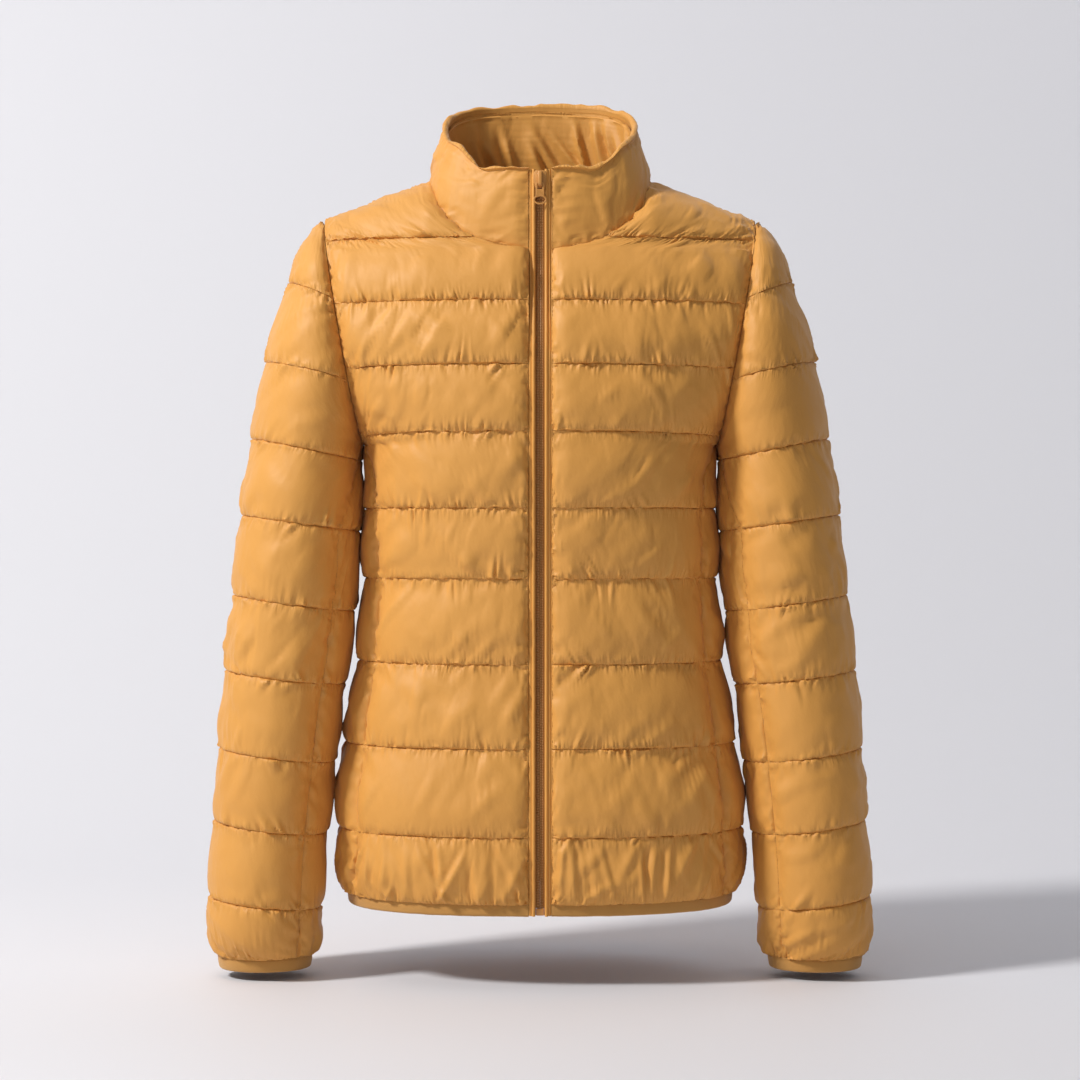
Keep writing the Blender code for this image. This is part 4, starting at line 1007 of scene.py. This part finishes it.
# ---- zip ----
# columns: distance from the middle, height over the fronts' inner face
BAND_SECTION = (
    (12.5, -0.15), (9.15, -0.1), (9.15, 2.2), (8.7, 2.75), (8.1, 2.95), (7.4, 2.7), (6.9, 2.55),
    (6.7, 3.0), (6.4, 3.6), (5.9, 4.1), (5.3, 4.3), (4.7, 4.15), (4.2, 3.75), (3.9, 3.1),
    (3.8, 2.4), (4.0, 1.6), (4.5, 0.7), (5.0, -0.7), (12.5, -0.7),
)
TAPE_SECTION = (
    (8.4, -1.1), (8.4, -0.5), (6.0, -0.45), (3.0, -0.4), (0.05, -0.4), (0.02, -0.75), (0.05, -1.1),
    (4.0, -1.1),
)
COIL_PITCH = 1.34
COIL_LEVEL = 0.45        # height of the coil's middle over the fronts' inner face


def fine_zip_line(count, level=None):
    """The zip's line with many stations, two close at a level: points, outward normals, length run."""
    points, _ = zip_line()
    away = run_lengths(points[None], 1)[0]
    at = np.linspace(0, away[-1], count)
    if level is not None:
        at = np.sort(np.append(at, np.interp((level - 0.06, level), points[:, 2], away)))
    line = np.stack([smooth(at, np.stack((away, points[:, k]), axis=-1)) for k in range(3)], axis=-1)
    along = unit(np.gradient(line, axis=0))
    return line, np.stack((0 * at, -along[:, 2], along[:, 1]), axis=-1), at


def swept(name, section, line, normals, side, kind, wave=None):
    """Carries a closed section up the zip; side is 1 for the wearer's left and -1 for the right."""
    section = np.array(section)
    across = np.array((side, 0.0, 0.0))
    rings = line[:, None] + across * section[None, :, :1] + normals[:, None] * section[None, :, 1:]
    if wave is not None:
        rings += wave
    count = len(section)
    r, c = np.meshgrid(np.arange(len(line) - 1), np.arange(count), indexing="ij")
    d = (c + 1) % count
    faces = np.stack((r * count + c, r * count + d, (r + 1) * count + d, (r + 1) * count + c), axis=-1)
    faces = faces.reshape(-1, 4).tolist()
    faces += [list(range(count)), list(range((len(line) - 1) * count, len(line) * count))]
    mesh = bpy.data.meshes.new(name)
    mesh.from_pydata([tuple(p) for p in rings.reshape(-1, 3) * MM], [], faces)
    return closed_piece(name, mesh, kind, 50)


def build_zip():
    """Bands with their rolled edge and tapes, and the length run up the zip."""
    made = {}
    count = 320
    box_top = ZIP_BOTTOM + BOX_SIZE[2] + 0.15
    line, normals, run = fine_zip_line(count, box_top)
    for side, name, seed in ((1, "left", 41), (-1, "right", 42)):
        rng = np.random.default_rng(seed)
        section = np.array(BAND_SECTION)
        roll = np.exp(-((section[:, 0] - 5.3) / 1.1) ** 2) * (section[:, 1] > 1.0)
        soft = 0.16 * cloud(rng, run / 9.0, 0 * run) + 0.12 * cloud(rng, run / 3.5, 0 * run)
        way = normals[:, None] + np.array((side * 0.8, 0.0, 0.0))
        wave = roll[None, :, None] * soft[:, None, None] * way
        band, tape = f"zip_band_{name}_cloth", f"zip_tape_{name}_cloth"
        made["band_" + name] = swept(band, BAND_SECTION, line, normals, side, "nylon", wave)
        beside_box = line[:, 2] < box_top - 0.03
        cut = np.maximum(BOX_SIZE[0] / 2 + 0.1 - np.array(TAPE_SECTION)[:, 0], 0) * beside_box[:, None]
        wave = cut[..., None] * np.array((side, 0.0, 0.0))
        made["tape_" + name] = swept(tape, TAPE_SECTION, line, normals, side, "tape", wave)
    return made, float(run[-1])


# ---- what repeats along a line: stitches and coil ----
def repeat_tree():
    """Node tree that sets one short bent rod after another along a line, turned with it."""
    tree = bpy.data.node_groups.new("rods along a line", "GeometryNodeTree")
    sockets = (
        ("Geometry", "Geometry", None), ("Pitch", "Float", 0.003), ("Wire", "Float", 0.0002),
        ("Start", "Vector", (0, 0, 0)), ("Middle", "Vector", (0, 0, 0)), ("End", "Vector", (0, 0, 0)),
        ("Across", "Vector", (1, 0, 0)), ("Bends", "Int", 4), ("Material", "Material", None),
    )
    for name, kind, value in sockets:
        socket = tree.interface.new_socket(name=name, in_out="INPUT", socket_type="NodeSocket" + kind)
        if value is not None:
            socket.default_value = value
    tree.interface.new_socket(name="Geometry", in_out="OUTPUT", socket_type="NodeSocketGeometry")
    add, link = tree.nodes.new, tree.links.new
    source, result = add("NodeGroupInput"), add("NodeGroupOutput")
    to_curve, spread = add("GeometryNodeMeshToCurve"), add("GeometryNodeCurveToPoints")
    spread.mode = "LENGTH"
    link(source.outputs["Geometry"], to_curve.inputs[0])
    link(to_curve.outputs[0], spread.inputs["Curve"])
    link(source.outputs["Pitch"], spread.inputs["Length"])
    along, level = add("FunctionNodeAlignRotationToVector"), add("FunctionNodeAlignRotationToVector")
    along.axis, level.axis, level.pivot_axis = "Z", "X", "Z"
    link(spread.outputs["Tangent"], along.inputs["Vector"])
    link(along.outputs[0], level.inputs["Rotation"])
    link(source.outputs["Across"], level.inputs["Vector"])
    rod, ring = add("GeometryNodeCurveQuadraticBezier"), add("GeometryNodeCurvePrimitiveCircle")
    body = add("GeometryNodeCurveToMesh")
    link(source.outputs["Bends"], rod.inputs["Resolution"])
    for name in ("Start", "Middle", "End"):
        link(source.outputs[name], rod.inputs[name])
    ring.inputs["Resolution"].default_value = 4
    link(source.outputs["Wire"], ring.inputs["Radius"])
    link(rod.outputs[0], body.inputs["Curve"])
    link(ring.outputs[0], body.inputs["Profile Curve"])
    body.inputs["Fill Caps"].default_value = True
    copies, made = add("GeometryNodeInstanceOnPoints"), add("GeometryNodeRealizeInstances")
    paint = add("GeometryNodeSetMaterial")
    link(spread.outputs["Points"], copies.inputs["Points"])
    link(body.outputs[0], copies.inputs["Instance"])
    link(level.outputs[0], copies.inputs["Rotation"])
    link(copies.outputs[0], made.inputs[0])
    link(made.outputs[0], paint.inputs["Geometry"])
    link(source.outputs["Material"], paint.inputs["Material"])
    link(paint.outputs[0], result.inputs[0])
    return tree


def rods(name, lines, kind, **sizes):
    """Rods along lines of points in millimetres; sizes are the tree's inputs in millimetres."""
    points = np.concatenate(lines) * MM
    edges, first = [], 0
    for line in lines:
        edges += [(first + k, first + k + 1) for k in range(len(line) - 1)]
        first += len(line)
    mesh = bpy.data.meshes.new(name)
    mesh.from_pydata([tuple(p) for p in points], edges, [])
    piece = placed(name, mesh)
    nodes = piece.modifiers.new("rods", "NODES")
    nodes.node_group = TREE
    for item in TREE.interface.items_tree:
        if item.in_out == "INPUT" and item.name in sizes:
            value = sizes[item.name]
            if item.name not in ("Across", "Bends"):
                value = value * MM if np.isscalar(value) else tuple(v * MM for v in value)
            nodes[item.identifier] = value
        elif item.name == "Material":
            nodes[item.identifier] = MATERIALS[kind]
    applied(piece).name = name
    return piece


STITCH = dict(Pitch=3.2, Wire=0.16, Start=(0.0, 0.0, -1.2), Middle=(0.0, 0.0, 0.0), End=(0.0, 0.0, 1.2),
              Bends=2)
COIL = dict(Pitch=COIL_PITCH, Wire=0.36, Start=(0.35, -0.5, 0.0), Middle=(1.45, 1.7, 0.1),
            End=(2.65, -0.5, 0.0), Bends=5)


def coil_lines():
    """The line that each row of coil follows, half a pitch apart."""
    line, normals, _ = fine_zip_line(240)
    keep = (line[:, 2] > ZIP_BOTTOM + BOX_SIZE[2] + 0.6) & (line[:, 2] < SLIDER_TOP - 1.0)
    line = line[keep] + normals[keep] * COIL_LEVEL
    step = (line[1] - line[0]) / np.linalg.norm(line[1] - line[0]) * COIL_PITCH / 2
    return line, np.concatenate((line[:1] + step, line[3:]))


# ---- metal ----
def finished(node, name, kind, width):
    """A solid's own form with softened edges."""
    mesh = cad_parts[node].data.copy()
    form = bmesh.new()
    form.from_mesh(mesh)
    bmesh.ops.remove_doubles(form, verts=form.verts, dist=0.00002)
    bmesh.ops.dissolve_limit(form, angle_limit=math.radians(1.0), verts=form.verts, edges=form.edges)
    form.to_mesh(mesh)
    form.free()
    mesh.materials.clear()
    mesh.materials.append(MATERIALS[kind])
    mesh.name = name
    piece = placed(name, mesh)
    soft = piece.modifiers.new("soft edges", "BEVEL")
    soft.width = width * MM
    soft.segments = 2
    soft.limit_method = "ANGLE"
    soft.angle_limit = math.radians(35)
    applied(piece).set_sharp_from_angle(angle=math.radians(40))
    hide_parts(node)
    return piece


# ---- materials ----
def new_material(name, color, roughness):
    """A material and its shader."""
    made = bpy.data.materials.new(name)
    made.use_nodes = True
    shader = made.node_tree.nodes["Principled BSDF"]
    shader.inputs["Base Color"].default_value = (*color, 1.0)
    shader.inputs["Roughness"].default_value = roughness
    return made, shader


def node(made, kind, **values):
    """A node with some of its sockets and settings given."""
    new = made.node_tree.nodes.new(kind)
    for name, value in values.items():
        if name in new.inputs:
            new.inputs[name].default_value = value
        else:
            setattr(new, name, value)
    return new


def scaled(made, source, scale):
    """Places stretched by a scale each way."""
    mapping = node(made, "ShaderNodeMapping", Scale=scale)
    made.node_tree.links.new(source, mapping.inputs["Vector"])
    return mapping.outputs[0]


def times(made, a, b):
    """Two values multiplied."""
    product = node(made, "ShaderNodeMath", operation="MULTIPLY")
    made.node_tree.links.new(a, product.inputs[0])
    made.node_tree.links.new(b, product.inputs[1])
    return product.outputs[0]


def bumped(made, height, distance, strength, before=None):
    """Normals from a height, on top of other bumps where before is given."""
    bump = node(made, "ShaderNodeBump", Distance=distance, Strength=strength)
    made.node_tree.links.new(height, bump.inputs["Height"])
    if before is not None:
        made.node_tree.links.new(before, bump.inputs["Normal"])
    return bump.outputs[0]


def blended(made, share, first, second):
    """A colour between two."""
    mix = node(made, "ShaderNodeMix", data_type="RGBA")
    made.node_tree.links.new(share, mix.inputs[0])
    mix.inputs[6].default_value = (*first, 1.0)
    mix.inputs[7].default_value = (*second, 1.0)
    return mix.outputs[2]


def noise_of(made, vector, scale, detail=3.0, roughness=0.5):
    """Soft random values from 0 to 1."""
    noise = node(made, "ShaderNodeTexNoise", Scale=scale, Detail=detail, Roughness=roughness)
    made.node_tree.links.new(vector, noise.inputs["Vector"])
    return noise.outputs[0]


def weave_of(made, uv, pitch):
    """Threads over and under, one wave each way, each 0.63 of the pitch long."""
    waves = []
    for direction in ("X", "Y"):
        wave = node(made, "ShaderNodeTexWave", Scale=0.5 / pitch, bands_direction=direction)
        made.node_tree.links.new(uv, wave.inputs["Vector"])
        waves.append(wave.outputs["Fac"])
    return times(made, *waves)


def nylon_material():
    """Fine woven nylon: an uneven tone, a soft sheen, small crumples, and puckers beside the stitches."""
    made, shader = new_material("quilted nylon", NYLON, 0.54)
    shader.inputs["Specular IOR Level"].default_value = 0.38
    link = made.node_tree.links.new
    uv = node(made, "ShaderNodeUVMap", uv_map="cloth").outputs[0]
    place = node(made, "ShaderNodeTexCoord").outputs["Object"]
    near = node(made, "ShaderNodeAttribute", attribute_name="stitch").outputs["Fac"]
    tone = noise_of(made, place, 9.0, 2.0)
    link(blended(made, tone, NYLON_DEEP, NYLON), shader.inputs["Base Color"])
    rough = node(made, "ShaderNodeMapRange")
    rough.inputs["To Min"].default_value, rough.inputs["To Max"].default_value = 0.48, 0.62
    link(noise_of(made, place, 40.0), rough.inputs["Value"])
    link(rough.outputs[0], shader.inputs["Roughness"])
    shader.inputs["Sheen Weight"].default_value = 0.12
    shader.inputs["Sheen Roughness"].default_value = 0.45
    shader.inputs["Sheen Tint"].default_value = (1.0, 0.86, 0.66, 1.0)
    weave = bumped(made, weave_of(made, uv, 0.0005), 0.00003, 0.35)
    crumple = noise_of(made, scaled(made, uv, (1.0, 0.6, 1.0)), 130.0, 2.0, 0.45)
    soft = bumped(made, crumple, 0.0011, 0.42, weave)
    pucker = noise_of(made, scaled(made, uv, (420.0, 90.0, 1.0)), 1.0, 1.0)
    gathered = bumped(made, times(made, pucker, near), 0.0013, 0.9, soft)
    link(gathered, shader.inputs["Normal"])
    return made


def knit_material(name, color, pitch, roughness):
    """Stretch knit: ribs and a soft fuzz."""
    made, shader = new_material(name, color, roughness)
    link = made.node_tree.links.new
    uv = node(made, "ShaderNodeUVMap", uv_map="cloth").outputs[0]
    place = node(made, "ShaderNodeTexCoord").outputs["Object"]
    tone = noise_of(made, place, 60.0)
    link(blended(made, tone, tuple(c * 0.84 for c in color), color), shader.inputs["Base Color"])
    shader.inputs["Sheen Weight"].default_value = 0.4
    shader.inputs["Sheen Tint"].default_value = (1.0, 0.85, 0.62, 1.0)
    ribs = bumped(made, weave_of(made, uv, pitch), 0.0002, 0.5)
    link(bumped(made, noise_of(made, place, 900.0), 0.00012, 0.4, ribs), shader.inputs["Normal"])
    return made


def plain_material(name, color, roughness, grain=500.0, depth=0.00006, coat=0.0, metallic=0.0):
    """An uneven tone and a fine grain."""
    made, shader = new_material(name, color, roughness)
    place = node(made, "ShaderNodeTexCoord").outputs["Object"]
    tone = noise_of(made, place, 120.0)
    darker = tuple(c * 0.88 for c in color)
    rough = bumped(made, noise_of(made, place, grain), depth, 0.3)
    made.node_tree.links.new(blended(made, tone, darker, color), shader.inputs["Base Color"])
    made.node_tree.links.new(rough, shader.inputs["Normal"])
    shader.inputs["Coat Weight"].default_value = coat
    shader.inputs["Metallic"].default_value = metallic
    return made


# ---- the scene ----
NYLON = (0.69, 0.330, 0.069)
NYLON_DEEP = (0.63, 0.290, 0.058)
BINDING = (0.56, 0.275, 0.062)
ZIP_TONE = (0.46, 0.205, 0.042)
THREAD = (0.55, 0.27, 0.06)
ENAMEL = (0.60, 0.27, 0.06)
BACKDROP = (0.735, 0.735, 0.77)
FLOOR = -679.5

PIECES = bpy.data.collections.new("looks")
bpy.context.scene.collection.children.link(PIECES)
MATERIALS = {
    "nylon": nylon_material(),
    "binding": knit_material("knit binding", BINDING, 0.0009, 0.85),
    "tape": plain_material("zip tape", ZIP_TONE, 0.75, 900.0, 0.0001),
    "coil": plain_material("nylon coil", (0.62, 0.34, 0.13), 0.42),
    "thread": plain_material("thread", THREAD, 0.65, 3000.0, 0.00003),
    "metal": plain_material("enamelled zinc", ENAMEL, 0.42, 250.0, 0.00004, coat=0.25, metallic=0.1),
}
TREE = repeat_tree()


def build_cloth():
    """The padded cloth and its stitches."""
    made, quilting, edging = build_body()
    made["sleeve_left"], left = build_sleeve("sleeve_left", 15, False)
    made["sleeve_right"], right = build_sleeve("sleeve_right", 16, True)
    made["collar"], ends = build_collar()
    made["collar_facing"], above = build_facing()
    for name, piece in made.items():
        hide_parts(name)
        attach(piece, "jacket")
    sewing = {
        "body_quilting": quilting,
        "sleeve_quilting": left + right,
        "edge_stitches": edging + ends + [above],
    }
    for name, lines in sewing.items():
        sewn = rods(name, lines, "thread", **STITCH)
        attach(sewn, "jacket")


def build_trims():
    """The bindings, the zip and its metal."""
    strips = {"hem_binding": build_hem_binding()}
    for name, seed, turn in (("cuff_binding_left", 33, False), ("cuff_binding_right", 34, True)):
        strips[name] = build_cuff_binding(name, seed, turn)
    sewn = rods("binding_stitches", [line for _, _, line in strips.values()], "thread", **STITCH)
    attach(sewn, "jacket")
    for name, (piece, length, _) in strips.items():
        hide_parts(name)
        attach(piece, "jacket")
    zips, run = build_zip()
    for side in ("left", "right"):
        band, tape = zips["band_" + side], zips["tape_" + side]
        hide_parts("zip_band_" + side)
        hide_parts("zip_tape_" + side)
        for piece in (band, tape):
            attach(piece, "jacket")
    for line, side, name in zip(coil_lines(), (1.0, -1.0), ("left", "right")):
        coil = rods("coil_" + name, [line], "coil", **COIL, Across=(side, 0.0, 0.0))
        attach(coil, "jacket")
    metal = (
        ("zip_slider", "slider", 0.35, "jacket"),
        ("zip_box", "box", 0.5, "jacket"),
        ("zip_pull", "pull_tab", 0.28, "pull_tab"),
    )
    for solid, name, soft_edge, body in metal:
        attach(finished(solid, name, "metal", soft_edge), body)


def stage():
    """Pale floor that curves up into the wall behind."""
    depth, height, radius = 1900.0, 3200.0, 1300.0
    turns = np.linspace(0, math.pi / 2, 24)
    bend = [(depth - radius + radius * math.sin(a), FLOOR + radius * (1 - math.cos(a))) for a in turns]
    profile = [(-6000.0, FLOOR)] + bend + [(depth, height)]
    points = np.array([(x, y, z) for y, z in profile for x in (-6000.0, 6000.0)])
    faces = [(2 * k, 2 * k + 1, 2 * k + 3, 2 * k + 2) for k in range(len(profile) - 1)]
    mesh = bpy.data.meshes.new("studio sweep")
    mesh.from_pydata([tuple(p) for p in points * MM], [], faces)
    mesh.shade_smooth()
    made, shader = new_material("pale studio paint", BACKDROP, 0.62)
    shader.inputs["Specular IOR Level"].default_value = 0.3
    mesh.materials.append(made)
    sweep = bpy.data.objects.new("studio_sweep", mesh)
    bpy.context.scene.collection.objects.link(sweep)


def soft_light(name, place, aim, size, power, color):
    """A rectangular light in metres, aimed at a point."""
    data = bpy.data.lights.new(name, "AREA")
    data.shape = "RECTANGLE"
    data.size, data.size_y = size
    data.energy = power
    data.color = color
    lamp = bpy.data.objects.new(name, data)
    lamp.location = place
    lamp.rotation_euler = (Vector(aim) - Vector(place)).to_track_quat("-Z", "Y").to_euler()
    bpy.context.scene.collection.objects.link(lamp)


def light_and_camera():
    """A strong key light from the left above, weak fill, a light for the wall, and the camera."""
    soft_light("key", (-2.8, -1.6, 2.3), (0.0, 0.0, -0.3), (0.6, 0.7), 168.0, (1.0, 0.985, 0.96))
    soft_light("front", (-0.9, -2.8, 0.3), (0.0, 0.0, -0.5), (1.2, 1.2), 4.0, (1.0, 0.99, 0.98))
    soft_light("top", (-0.6, -0.3, 2.2), (-0.2, 0.1, 0.0), (2.0, 1.4), 9.0, (1.0, 1.0, 1.0))
    soft_light("wall", (1.8, 0.9, 2.0), (1.7, 2.4, 0.2), (2.0, 0.6), 10.0, (0.98, 0.98, 1.0))
    world = bpy.data.worlds.new("studio")
    world.use_nodes = True
    background = world.node_tree.nodes["Background"]
    background.inputs["Color"].default_value = (0.90, 0.91, 0.95, 1.0)
    background.inputs["Strength"].default_value = 0.225
    bpy.context.scene.world = world
    data = bpy.data.cameras.new("camera")
    data.lens, data.sensor_width = 81.27, 36.0
    data.clip_end = 30.0
    camera = bpy.data.objects.new("camera", data)
    camera.location = (0.0, -2.115, -0.308)
    camera.rotation_euler = (math.pi / 2, 0.0, 0.0)
    bpy.context.scene.collection.objects.link(camera)
    bpy.context.scene.camera = camera
    bpy.context.scene.view_settings.view_transform = "Standard"


build_cloth()
build_trims()
stage()
light_and_camera()
